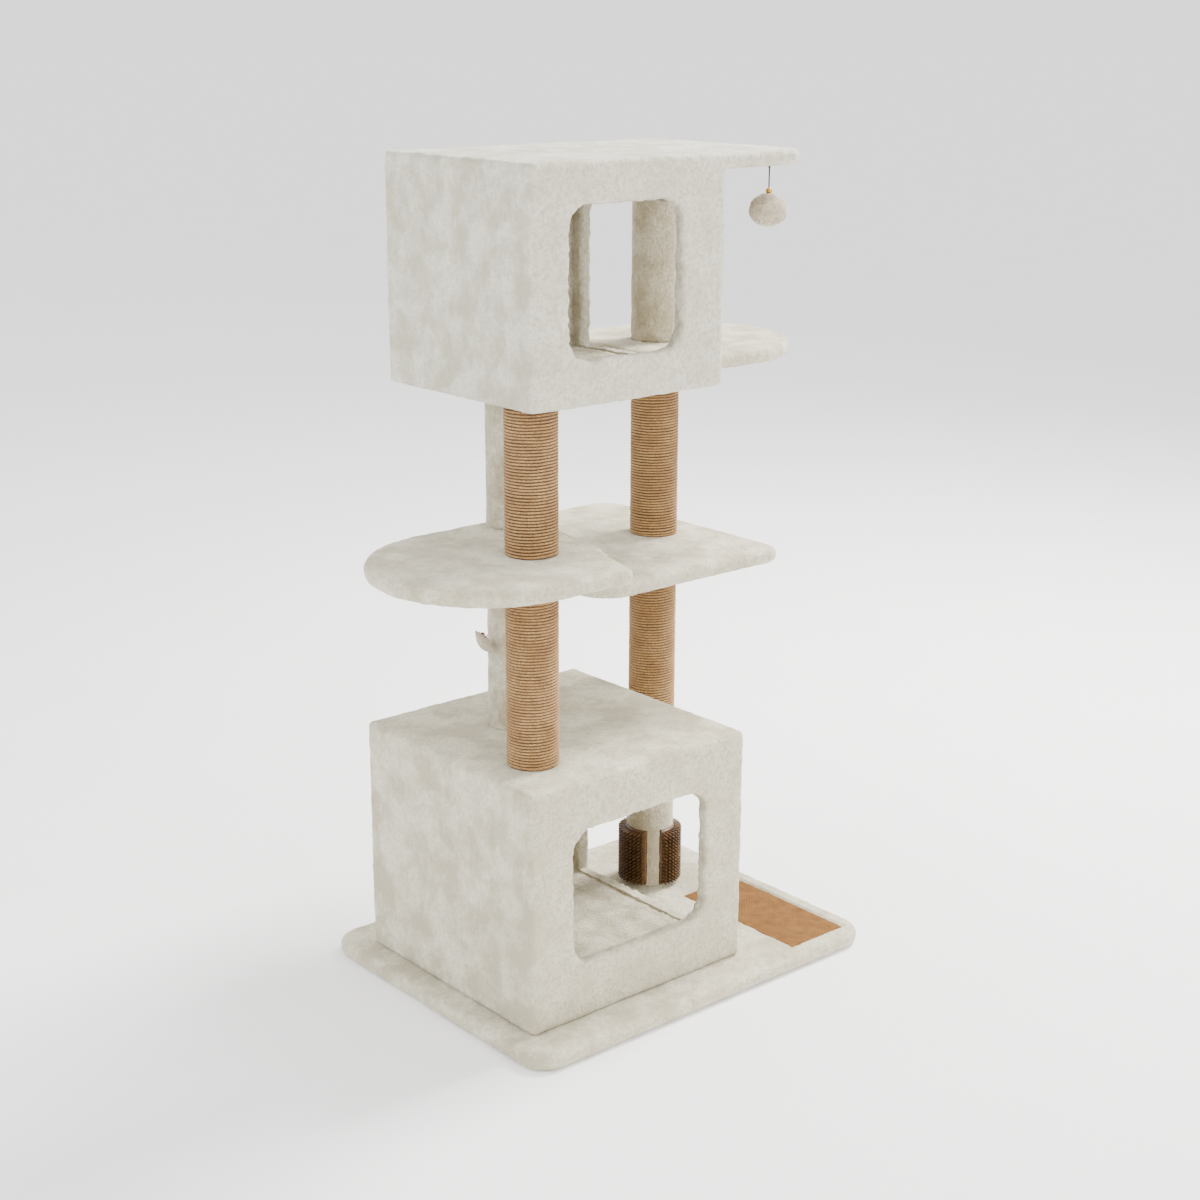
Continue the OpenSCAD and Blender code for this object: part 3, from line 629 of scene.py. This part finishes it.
string_stuff = simple_finish(
    "brown string", (0.035, 0.022, 0.014), (0.012, 0.008, 0.005), 1500, 0.8, 0.0003, (1, 1, 2.5)
)
brass = simple_finish(
    "brass bead", (0.62, 0.33, 0.06), (0.4, 0.19, 0.03), 500, 0.3, 0.0001, Metallic=0.85
)
fluff = plush_finish("toy fluff", (0.74, 0.645, 0.485), (0.47, 0.385, 0.265), 60, 1.3, 0.5, 420)
mouse_fur = plush_finish("mouse fur", (0.78, 0.70, 0.55), (0.5, 0.42, 0.3), 160, 1.0, 0.5, 500)
red_felt = simple_finish("red felt", (0.5, 0.045, 0.035), (0.3, 0.02, 0.018), 900, 0.9, 0.0003)
pink_felt = simple_finish("pink nose", (0.72, 0.28, 0.24), (0.55, 0.17, 0.15), 900, 0.8, 0.0002)
black_glass = simple_finish("black eye", (0.01, 0.01, 0.01), (0.004, 0.004, 0.004), 200, 0.15, 0.0)


# ---------------------------------------------------------------- boards and condos


def finish_slab(name, surface, material, nodes, seed):
    """Raises a slab's pile, no lower than the floor, and puts it in place of its cover."""
    points, quads, tris = surface
    points = pile(points, quads, tris, 1.0, seed)
    points[:, 2] = np.maximum(points[:, 2], 0)
    piece = mesh_piece(name, points, quads, tris, material)
    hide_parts(*nodes)


def height_of(node):
    """A node's lowest and highest z."""
    low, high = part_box(node)
    return low.z, high.z


def base_surface():
    """The base's plush, with the mat's bed pressed 4 mm into its top and a slight ridge of
    pile round the bed: the height follows the distance to the bed's border. The plush
    meets in a short upright join on the front edge."""
    x0, y0, x1, y1 = plan_box("base_cover")
    mx0, my0, mx1, my1 = plan_box("scratch_mat")
    z0, z1 = height_of("base_cover")
    lines = ((FRONT_JOIN, mx0, mx1), (my0, my1))
    points, quads, tris = slab_surface(
        (x0, y0, x1, y1), z0, z1, [49 * MM] * 4, RIM, 4.6 * MM, lines
    )
    x, y, z = points.T
    inside = np.minimum(np.minimum(x - mx0, mx1 - x), np.minimum(y - my0, my1 - y))
    bed = np.clip((inside + 2 * MM) / (3 * MM), 0, 1)
    ridge = np.exp(-(((inside + 6 * MM) / (4 * MM)) ** 2))
    top = z > z1 - 1 * MM
    points[:, 2] = np.where(top, z - 4.2 * MM * bed + 1.4 * MM * ridge, z)
    join = (np.abs(x - FRONT_JOIN) < 1.5 * MM) & (y < y0 + 6 * MM)
    points[:, 1] = np.where(join, y + 1.6 * MM, y)
    return points, quads, tris


def left_shelf_surface():
    """A slab with a half-round left end, whose right end is cut askew: each point moves right
    with its distance towards the back, or out to the left end's own circle if that is further."""
    x0, y0, x1, y1 = plan_box("left_shelf_cover")
    z0, z1 = height_of("left_shelf_cover")
    skew = 88 * MM
    radius = (y1 - y0) / 2
    box = (x0, y0, x1 - skew, y1)
    points, quads, tris = slab_surface(
        box, z0, z1, [radius, SHELF_CORNER, SHELF_CORNER, radius], RIM, SLAB_STEP
    )
    span = x1 - skew - x0 - radius - 30 * MM
    share = np.clip((points[:, 0] - x0 - radius) / span, 0, 1)
    back = np.clip((points[:, 1] - y0 - SHELF_CORNER) / (y1 - y0 - 2 * SHELF_CORNER), 0, 1)
    bulge = np.sqrt(np.maximum(radius**2 - (points[:, 1] - y0 - radius) ** 2, 0))
    shift = np.maximum(skew * back, x0 + radius + bulge - (x1 - skew))
    points[:, 0] += share * (shift + 0.3 * MM)
    return points, quads, tris


def shelf(name, node, radii, seed):
    """A plush-covered shelf in place of its cover."""
    surface = slab_surface(plan_box(node), *height_of(node), radii, RIM, SLAB_STEP)
    finish_slab(name, surface, plush, [node], seed)


def make_shelves():
    """The base, the two shelves, the round-ended perch and the overhang of the top, which
    starts 14 mm inside the upper condo."""
    finish_slab("base_plush", base_surface(), plush, ["base_cover"], 3)
    finish_slab("left_shelf_plush", left_shelf_surface(), plush, ["left_shelf_cover"], 7)
    shelf("right_shelf_plush", "right_shelf_cover", [r * MM for r in (62, 26, 52, 40)], 11)
    shelf("perch_plush", "perch_cover", [r * MM for r in (14, 180, 180, 14)], 15)
    _, y0, x1, y1 = plan_box("top_cover")
    z0, z1 = height_of("top_cover")
    box = (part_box("up_cover")[1].x - 14 * MM, y0, x1, y1)
    radii = [r * MM for r in (6, 32, 32, 6)]
    surface = slab_surface(box, z0, z1, radii, 11 * MM, SLAB_STEP)
    finish_slab("overhang_plush", surface, plush_pale, [], 19)


def lip_share(u, v, depth, hole):
    """One at a hole's rim, dying away some 9 mm from it as a bell curve of the distance to a
    rounded rectangle's outline, on points less than 30 mm deep."""
    a0, b0, a1, b1 = hole
    qa = np.abs(u - (a0 + a1) / 2) - (a1 - a0) / 2 + HOLE_CORNER
    qb = np.abs(v - (b0 + b1) / 2) - (b1 - b0) / 2 + HOLE_CORNER
    out = np.hypot(np.maximum(qa, 0), np.maximum(qb, 0)) + np.minimum(np.maximum(qa, qb), 0)
    return np.exp(-(((out - HOLE_CORNER) / (9 * MM)) ** 2)) * (depth < 30 * MM)


def floor_share(points, low, size):
    """One on the floor inside a condo, falling from 15 mm off its walls to nothing at 3 mm."""
    x, y, z = (points - low).T
    across = np.minimum(x - WALL, size[0] - WALL - x)
    deep = np.minimum(y - WALL, size[1] - WALL - y)
    away = np.minimum(across, deep)
    level = np.abs(z - WALL) < 1 * MM
    return np.clip((away - 3 * MM) / (12 * MM), 0, 1) * level


def make_condo(name, low, high, roof, window, doorway, material, nodes, seed, step):
    """One condo's plush, outside and in, under a roof that thick. window and doorway are
    (low a, low z, high a, high z) from the condo's own low corner. The pile is longer round
    the openings and lies in tousled waves on the floor inside."""
    low, high = np.array(low), np.array(high)
    size = high - low
    offset = np.full(3, WALL)
    points, quads, tris = condo_surface(
        low,
        size,
        offset,
        size - (WALL, WALL, roof) - offset,
        (window, [HOLE_CORNER] * 4),
        (doorway, [1 * MM, 1 * MM, HOLE_CORNER, HOLE_CORNER]),
        step,
    )
    on_floor = floor_share(points, low, size)
    x, y, z = (points - low).T
    lips = lip_share(x, z, y, window)
    lips += lip_share(y, z, size[0] - x, doorway)
    n = normals(points, quads, tris)
    fringe = 1.5 * noise(points, 7 * MM, 43) + 1.1 * noise(points, 13 * MM, 44)
    points = pile(points, quads, tris, 1.15, seed) + n * (lips * fringe * MM)[:, None]
    points[:, 2] += on_floor * MM * (2.2 + 2.0 * noise(points, 30 * MM, 41))
    points[:, 2] += on_floor * MM * 1.2 * noise(points, 10 * MM, 42)
    piece = mesh_piece(name, points, quads, tris, material)
    piece.data.materials.append(plush_shaggy)
    shaggy = on_floor[quads].min(axis=1) > 0.2
    index = np.concatenate([shaggy, np.zeros(len(tris), bool)]).astype(np.int32)
    piece.data.polygons.foreach_set("material_index", index)
    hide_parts(*nodes)


def make_condos():
    """The lower and the upper condo. The upper one's plush runs on over the roof board."""
    low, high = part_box("low_cover")
    make_condo(
        "lower_condo_plush",
        low,
        high,
        WALL,
        [v * MM for v in (86, 96, 373, 326)],
        [v * MM for v in (45, 27.3, 403, 334)],
        plush,
        ["low_cover", "low_lining"],
        23,
        5.6 * MM,
    )
    low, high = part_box("up_cover")
    high.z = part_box("top_cover")[1].z
    make_condo(
        "upper_condo_plush",
        low,
        high,
        TOP_BOARD,
        [v * MM for v in (74, 68, 301, 300)],
        [v * MM for v in (45, 27.3, 325, 281)],
        plush_pale,
        ["up_cover", "up_lining", "top_cover"],
        29,
        5.4 * MM,
    )


# ---------------------------------------------------------------- posts


def axis_of(node):
    """The middle of an upright node, its radius, and its lowest and highest z."""
    low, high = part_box(node)
    return (low.x + high.x) / 2, (low.y + high.y) / 2, (high.x - low.x) / 2, low.z, high.z


def plush_post(name, node, seed):
    """A post's plush wrap: a closed cylinder in rings a slab's step apart, with its pile
    raised and cut level at both ends."""
    cx, cy, r, z0, z1 = axis_of(node)
    around = np.linspace(0, TAU, 61)
    rows = int(round((z1 - z0) / SLAB_STEP))
    heights = np.concatenate([[z0, z0], np.linspace(z0, z1, rows), [z1, z1]])
    radii = np.concatenate([[0, r * 0.5], np.full(rows, r), [r * 0.5, 0]])
    a, z = np.meshgrid(around, heights, indexing="ij")
    rr = np.broadcast_to(radii, a.shape)
    points = np.stack([cx + rr * np.cos(a), cy + rr * np.sin(a), z], axis=2)
    points, quads, tris = weld([(points, False)])
    points = pile(points, quads, tris, 0.9, seed)
    points[:, 2] = np.clip(points[:, 2], z0 - 1 * MM, z1 + 1 * MM)
    piece = mesh_piece(name, points, quads, tris, post_plush)
    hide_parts(node)


def rope_post(name, node, seed):
    """Rope wound round a post: a tube along a helix that rises 5 mm a turn, between a level
    first turn and a level last one. Its line wanders a little, as hand-wound rope does."""
    cx, cy, r, z0, z1 = axis_of(node)
    thick, sides, steps = 2.65 * MM, 7, 60
    turns = (z1 - z0 - 2 * thick) / ROPE_PITCH
    t = np.linspace(0, turns + 2, int((turns + 2) * steps))
    z = z0 + thick + ROPE_PITCH * np.clip(t - 1, 0, turns)
    a = TAU * t + seed
    line = np.stack([np.cos(a), np.sin(a), z / (20 * MM)], axis=1)
    radius = r - thick + 0.35 * MM * noise(line * 30 * MM, 14 * MM, seed)
    z = z + 0.7 * MM * noise(line * 30 * MM, 18 * MM, seed + 1)
    inside = np.linspace(0, TAU, sides, endpoint=False)
    shape = thick * (1 + 0.07 * noise(np.stack([a * 12, z * 0, z * 0], 1) * MM, 3 * MM, seed + 2))
    out = radius[:, None] + shape[:, None] * np.cos(inside)
    points = np.stack(
        [
            cx + out * np.cos(a)[:, None],
            cy + out * np.sin(a)[:, None],
            z[:, None] + shape[:, None] * np.sin(inside),
        ],
        axis=2,
    )
    n = len(t)
    i, j = np.meshgrid(np.arange(n - 1), np.arange(sides), indexing="ij")
    row, j2 = i * sides, (j + 1) % sides
    quads = np.stack([row + j, row + sides + j, row + sides + j2, row + j2], axis=2)
    fan = np.arange(1, sides - 1)
    last = (n - 1) * sides
    start = np.stack([0 * fan, fan, fan + 1], axis=1)
    end = np.stack([last + 0 * fan, last + fan + 1, last + fan], axis=1)
    ends = np.concatenate([start, end])
    uv = np.stack([np.repeat(t * 22, sides), np.tile(inside / TAU * 3, n)], axis=1)
    piece = mesh_piece(name, points.reshape(-1, 3), quads.reshape(-1, 4), ends, rope, uv=uv)
    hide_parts(node)


def make_posts():
    """The rope-wound and plush-wrapped stretches of the three posts."""
    rope_post("front_rope_low", "rope_front_low", 2)
    rope_post("front_rope_high", "rope_front_high", 3)
    rope_post("right_rope_low", "rope_right_2", 4)
    rope_post("right_rope_high", "rope_right_3", 5)
    plush_post("rear_post_plush_low", "plush_rear_low", 31)
    plush_post("rear_post_plush_high", "plush_rear_high", 32)
    plush_post("right_post_plush_low", "plush_right_1", 33)
    plush_post("right_post_plush_high", "plush_right_4", 34)


# ---------------------------------------------------------------- groomer and mat


def bristles(cx, cy, r, z0, z1, middle, half):
    """Rows of tapered round-tipped bristles on a curved pad, 7 mm apart, each leaning by a
    degree or two of its own. Returns points, quads and triangles."""
    columns = int(round(2 * half * r / BRISTLE_PITCH))
    rows = int(round((z1 - z0) / BRISTLE_PITCH)) - 1
    angles = middle + np.linspace(-half, half, columns + 2)[1:-1]
    heights = np.linspace(z0, z1, rows + 2)[1:-1]
    a, h = (g.ravel() for g in np.meshgrid(angles, heights, indexing="ij"))
    seed = np.stack([a * 9, h * 90, h * 0], axis=1)
    a2 = a + 0.008 * noise(seed, 0.9, 61)
    h2 = h + 0.3 * MM * noise(seed, 0.9, 62)
    reach = np.array([-0.4, 3.0, 9.0, 12.4, 13.6, 14.0]) * MM
    girth = np.array([2.2, 2.0, 1.85, 1.75, 1.45, 0.6]) * MM
    spin = np.linspace(0, TAU, 7)[:-1]
    share = (reach / reach[-1])[None, :]
    angle = a[:, None] + (a2 - a)[:, None] * share
    level = h[:, None] + (h2 - h)[:, None] * share
    outward = r + reach[None, :]
    side = girth[None, :, None] * np.cos(spin)
    rise = girth[None, :, None] * np.sin(spin)
    ca, sa = np.cos(angle)[:, :, None], np.sin(angle)[:, :, None]
    x = cx + outward[:, :, None] * ca - side * sa
    y = cy + outward[:, :, None] * sa + side * ca
    z = level[:, :, None] + rise
    points = np.stack([x, y, np.broadcast_to(z, x.shape)], axis=3)
    count, rings, sides = points.shape[:3]
    b, k, s = np.meshgrid(np.arange(count), np.arange(rings - 1), np.arange(sides), indexing="ij")
    at = b * rings * sides + k * sides
    n = (s + 1) % sides
    quads = np.stack([at + s, at + n, at + sides + n, at + sides + s], axis=3).reshape(-1, 4)
    foot = np.arange(count)[:, None] * rings * sides
    fan = np.arange(1, sides - 1)[None, :]
    caps = np.stack([foot + 0 * fan, foot + fan + 1, foot + fan], axis=2).reshape(-1, 3)
    tip = foot + (rings - 1) * sides
    tips = np.stack([tip + 0 * fan, tip + fan, tip + fan + 1], axis=2).reshape(-1, 3)
    return points.reshape(-1, 3), quads, np.concatenate([caps, tips])


def groomer_pad(name, node, middle):
    """One half of the corner groomer: a curved plate with a rounded border and bristles."""
    cx, cy, _, _, _ = axis_of("plush_right_1")
    z0, z1 = height_of(node)
    r, wall, gap = 42.7 * MM, 2.5 * MM, 24 * MM
    half = np.pi / 2 - gap / 2 / (r + wall)
    a = middle + np.linspace(-half, half, 41)
    z = np.linspace(z0, z1, 24)
    ga, gz = np.meshgrid(a, z, indexing="ij")
    edge = np.minimum(np.minimum(ga - a[0], a[-1] - ga) * r, np.minimum(gz - z0, z1 - gz))
    lift = wall * np.sqrt(np.clip(edge / (3 * MM), 0, 1))
    outer = np.stack([cx + (r + lift) * np.cos(ga), cy + (r + lift) * np.sin(ga), gz], axis=2)
    inner = np.stack([cx + r * np.cos(ga), cy + r * np.sin(ga), gz], axis=2)
    plate, quads, tris = weld([(outer, False), (inner, True)])
    spikes, more_quads, caps = bristles(cx, cy, r + wall, z0, z1, middle, half)
    start = len(plate)
    piece = mesh_piece(
        name,
        np.concatenate([plate, spikes]),
        np.concatenate([quads, more_quads + start]),
        np.concatenate([tris, caps + start]),
        bristle_plastic,
    )
    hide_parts(node)


def strand_height(x, y, box):
    """How high the upper strand of a plain weave stands, from 0 to 1: a strand's section is the
    root of a sine, and at each crossing one way rises over the other, turn and turn about."""
    x0, y0, x1, y1 = box
    u = (x - x0) / (x1 - x0) * MAT_STRANDS[0]
    v = (y - y0) / (y1 - y0) * MAT_STRANDS[1]
    over = np.cos(np.pi * u) * np.cos(np.pi * v)
    warp = np.sqrt(np.abs(np.sin(np.pi * u))) * (0.75 + 0.25 * over)
    weft = np.sqrt(np.abs(np.sin(np.pi * v))) * (0.75 - 0.25 * over)
    return np.maximum(warp, weft)


def make_mat():
    """The scratching mat: a woven top whose strands are 4.4 mm across, rounded down at its
    border, over a flat back."""
    box = plan_box("scratch_mat")
    x0, y0, x1, y1 = box
    z0, z1 = height_of("scratch_mat")
    back = z0 + 0.2 * MM
    across, deep = MAT_STRANDS
    x, y = np.meshgrid(
        np.linspace(x0, x1, across * 4 + 1), np.linspace(y0, y1, deep * 4 + 1), indexing="ij"
    )
    flat = np.stack([x, y, 0 * x], axis=2)
    edge = np.minimum(np.minimum(x - x0, x1 - x), np.minimum(y - y0, y1 - y))
    rounding = np.clip(edge / (2 * MM), 0, 1)
    lift = 0.9 * MM * strand_height(x, y, box) + 0.35 * MM * noise(flat, 9 * MM, 71)
    z = z1 + (lift - 0.5 * MM) * rounding - 1.2 * MM * (1 - rounding)
    top = np.stack([x, y, z], axis=2)
    bottom = np.stack([x, y, np.full_like(x, back)], axis=2)
    ring = round_border(top)
    band = np.stack([ring * [1, 1, 0] + [0, 0, back], ring], axis=1)
    points, quads, tris = weld([(top, False), (bottom, True), (band, False)])
    # The strands' height rides in the map, where the mat's material paints shade into the low
    # places.
    height = strand_height(points[:, 0], points[:, 1], box)
    uv = np.stack([height, 0 * height], axis=1)
    piece = mesh_piece("woven_mat", points, quads, tris, mat_fibre, uv=uv)
    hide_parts("scratch_mat")


# ---------------------------------------------------------------- ball on its string


def revolve(profile, around, place):
    """Turns a profile of (radius, height) about +Z, places it and welds its faces."""
    r, h = np.array(profile, float).T
    a = np.linspace(0, TAU, around + 1)
    ga, gr = np.meshgrid(a, r, indexing="ij")
    gh = np.broadcast_to(h, gr.shape)
    grid = np.stack([gr * np.cos(ga), gr * np.sin(ga), gh], axis=2)
    return weld([(grid @ place[:3, :3].T + place[:3, 3], False)])


def egg_profile(wide, tall, count=13):
    """The profile of an egg shape: half an ellipse, closed on its axis at both ends."""
    tilt = np.radians(np.linspace(-90, 90, count))
    profile = [(wide * np.cos(t), tall * np.sin(t)) for t in tilt]
    profile[0], profile[-1] = (0.0, -tall), (0.0, tall)
    return profile


def moved(x, y, z):
    """A placement without a turn."""
    place = np.eye(4)
    place[:3, 3] = (x, y, z)
    return place


def make_ball():
    """A fluffy ball under a brass bead on a short brown string."""
    low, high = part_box("ball_string")
    x, y = (low.x + high.x) / 2, (low.y + high.y) / 2
    drops = [*range(0, 29, 2), 31]
    path = [(x, y, high.z - d * MM) for d in drops]
    thick = 1.15 * MM
    profile = [(0.0, path[-1][2])] + [(thick, p[2]) for p in path[::-1]] + [(0.0, high.z)]
    string = mesh_piece("toy_string", *revolve(profile, 12, moved(x, y, 0)), string_stuff, "ball")
    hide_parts("ball_string")

    low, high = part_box("ball_bead")
    r, middle = (high.x - low.x) / 2, (high.z + low.z) / 2
    tilt = np.radians(np.linspace(-64, 64, 15))
    shell = [(r * np.cos(t), r * np.sin(t)) for t in tilt]
    bore = [(1.4 * MM, r * np.sin(tilt[-1])), (1.4 * MM, r * np.sin(tilt[0]))]
    bead = mesh_piece(
        "toy_bead", *revolve(shell + bore + shell[:1], 32, moved(x, y, middle)), brass, "ball"
    )
    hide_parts("ball_bead")

    low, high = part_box("toy_ball")
    wide, tall, middle = (high.x - low.x) / 2, (high.z - low.z) / 2, (high.z + low.z) / 2
    points, quads, tris = revolve(egg_profile(wide, tall, 65), 110, moved(x, y, middle))
    n = normals(points, quads, tris)
    rise = 1.3 * noise(points, 16 * MM, 81) + 0.7 * noise(points, 3.4 * MM, 83)
    rise += 0.8 * np.abs(noise(points, 2.2 * MM, 84))
    points = points + n * [1, 1, 0.6] * ((rise + 2.6) * MM)[:, None]
    ball = mesh_piece("fluffy_ball", points, quads, tris, fluff, "ball")
    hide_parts("toy_ball")


# ---------------------------------------------------------------- mouse


def mouse_axes():
    """The mouse's own frame: its origin 1.5 mm off the rear left post, and +Z up the mouse,
    which stands out to the left and 53 degrees above the level."""
    cx, cy, r, _, _ = axis_of("plush_rear_low")
    turn, lean = np.radians(181), np.radians(90 - 53)
    spin = Matrix.Rotation(turn, 4, "Z") @ Matrix.Translation((r + 1.5 * MM, 0, 0))
    place = Matrix.Translation((cx, cy, MOUSE_HEIGHT)) @ spin @ Matrix.Rotation(lean, 4, "Y")
    return np.array(place)


def disc_profile(r, t):
    """The profile of a round disc with a softened rim."""
    return [(0, -t / 2), (r - t / 2, -t / 2), (r, 0), (r - t / 2, t / 2), (0, t / 2)]


def make_mouse():
    """The toy mouse: a furry drop-shaped body, felt ears, black eyes and a pink nose. The
    body's girth follows a sine of its length, fuller towards the tail."""
    axes = mouse_axes()
    start, length, width = 8 * MM, 50 * MM, 20 * MM
    share = np.linspace(0, 1, 49)
    girth = width / 2 * np.sin(np.pi * share**0.8).clip(0) ** 0.75
    girth[0] = girth[-1] = 0
    profile = np.stack([girth, start + share * length], axis=1)
    points, quads, tris = revolve(profile, 56, axes)
    n = normals(points, quads, tris)
    rise = 0.5 * noise(points, 5 * MM, 91) + 0.5 * noise(points, 2 * MM, 92)
    points = points + n * (rise * MM)[:, None]
    body = mesh_piece("mouse_fur_body", points, quads, tris, mouse_fur, "mouse")
    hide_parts("mouse_body")

    def put(name, profile, around, at, material, lean=0.0):
        """A small turned piece at a place in the mouse's frame."""
        local = Matrix.Translation(at) @ Matrix.Rotation(lean, 4, "X")
        surface = revolve(profile, around, axes @ np.array(local))
        piece = mesh_piece(name, *surface, material, "mouse")
        return piece

    ears, eyes = [], []
    ear_disc, eye_bead = disc_profile(4.4 * MM, 1.2 * MM), egg_profile(1.5 * MM, 1.5 * MM)
    for side, where in ((-1, "left"), (1, "right")):
        at = (-8.4 * MM, side * 5.6 * MM, start + length * 0.62)
        lean = side * np.radians(35)
        ears.append(put(f"mouse_ear_{where}", ear_disc, 32, at, red_felt, lean))
        at = (-5.4 * MM, side * 4.6 * MM, start + length * 0.8)
        eyes.append(put(f"mouse_eye_{where}", eye_bead, 20, at, black_glass))
    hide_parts("mouse_ears")
    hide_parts("mouse_eyes")
    at = (-0.3 * MM, 0, start + length - 0.9 * MM)
    put("mouse_nose", egg_profile(2.1 * MM, 1.7 * MM), 24, at, pink_felt)


# ---------------------------------------------------------------- what stays from the frame


def paint(node, material):
    """Gives a carried-over node its material."""
    data = frame["nodes"][node].data
    data.materials.clear()
    data.materials.append(material)


def paint_frame():
    """Boards, tubes, plugs and metal keep their own shapes."""
    kinds = {
        "board": board,
        "plug_wood": plug_wood,
        "cardboard": cardboard,
        "steel": steel,
        "string": string_stuff,
        "plush": plush,
        "plush_lining": plush,
        "post_plush": post_plush,
        "sisal_mat": mat_fibre,
        "jute_rope": rope,
        "groomer_plastic": bristle_plastic,
        "brass_bead": brass,
        "toy_fluff": fluff,
        "mouse_fur": mouse_fur,
        "red_felt": red_felt,
        "black_eye": black_glass,
    }
    slots = {n["node"]: n["material_slot"] for n in frame["record"]["subparts"]}
    for node in frame["nodes"]:
        paint(node, kinds[slots[node]])


# ---------------------------------------------------------------- floor and light


def make_stage():
    """A white floor and surround, a soft key light from the upper right, a broad light from
    the front and a cool fill from the left."""
    f = Finish("white floor", 1.0, Specular_IOR_Level=0.0, Emission_Strength=0.13)
    f.colour(f.mix(f.spread(f.noise(3, 2), 0.3, 0.7), (0.93, 0.93, 0.93), (0.95, 0.95, 0.95)))
    reach = 600.0
    corners = [(-reach, -reach, 0), (reach, -reach, 0), (reach, reach, 0), (-reach, reach, 0)]
    mesh = bpy.data.meshes.new("floor")
    mesh.from_pydata(corners, [], [(0, 1, 2, 3)])
    mesh.materials.append(f.material)
    floor = bpy.data.objects.new("floor", mesh)
    floor.location.z = -0.0005
    scene.collection.objects.link(floor)

    world = bpy.data.worlds.new("surround")
    world.use_nodes = True
    background = world.node_tree.nodes["Background"]
    background.inputs["Color"].default_value = (1.0, 1.0, 1.0, 1)
    background.inputs["Strength"].default_value = 1.7
    scene.world = world

    def area(name, place, aim, power, size, tint):
        data = bpy.data.lights.new(name, "AREA")
        data.energy, data.size, data.color = power, size, tint
        light = bpy.data.objects.new(name, data)
        light.location = place
        way = Vector(aim) - Vector(place)
        light.rotation_euler = way.to_track_quat("-Z", "Y").to_euler()
        scene.collection.objects.link(light)

    area("key", (2.6, 0.1, 3.4), (0.0, 0.0, 0.6), 435, 1.3, (1.0, 0.985, 0.95))
    area("front", (0.6, -3.8, 2.7), (0.0, 0.0, 0.7), 98, 2.4, (1.0, 0.99, 0.96))
    area("fill", (-3.2, 0.2, 1.8), (0.0, 0.0, 0.7), 55, 2.6, (0.93, 0.97, 1.0))


make_ball()
make_shelves()
make_condos()
make_posts()
groomer_pad("groomer_pad_left", "groomer_left", np.radians(147))
groomer_pad("groomer_pad_right", "groomer_right", np.radians(327))
make_mat()
make_mouse()
paint_frame()
make_stage()
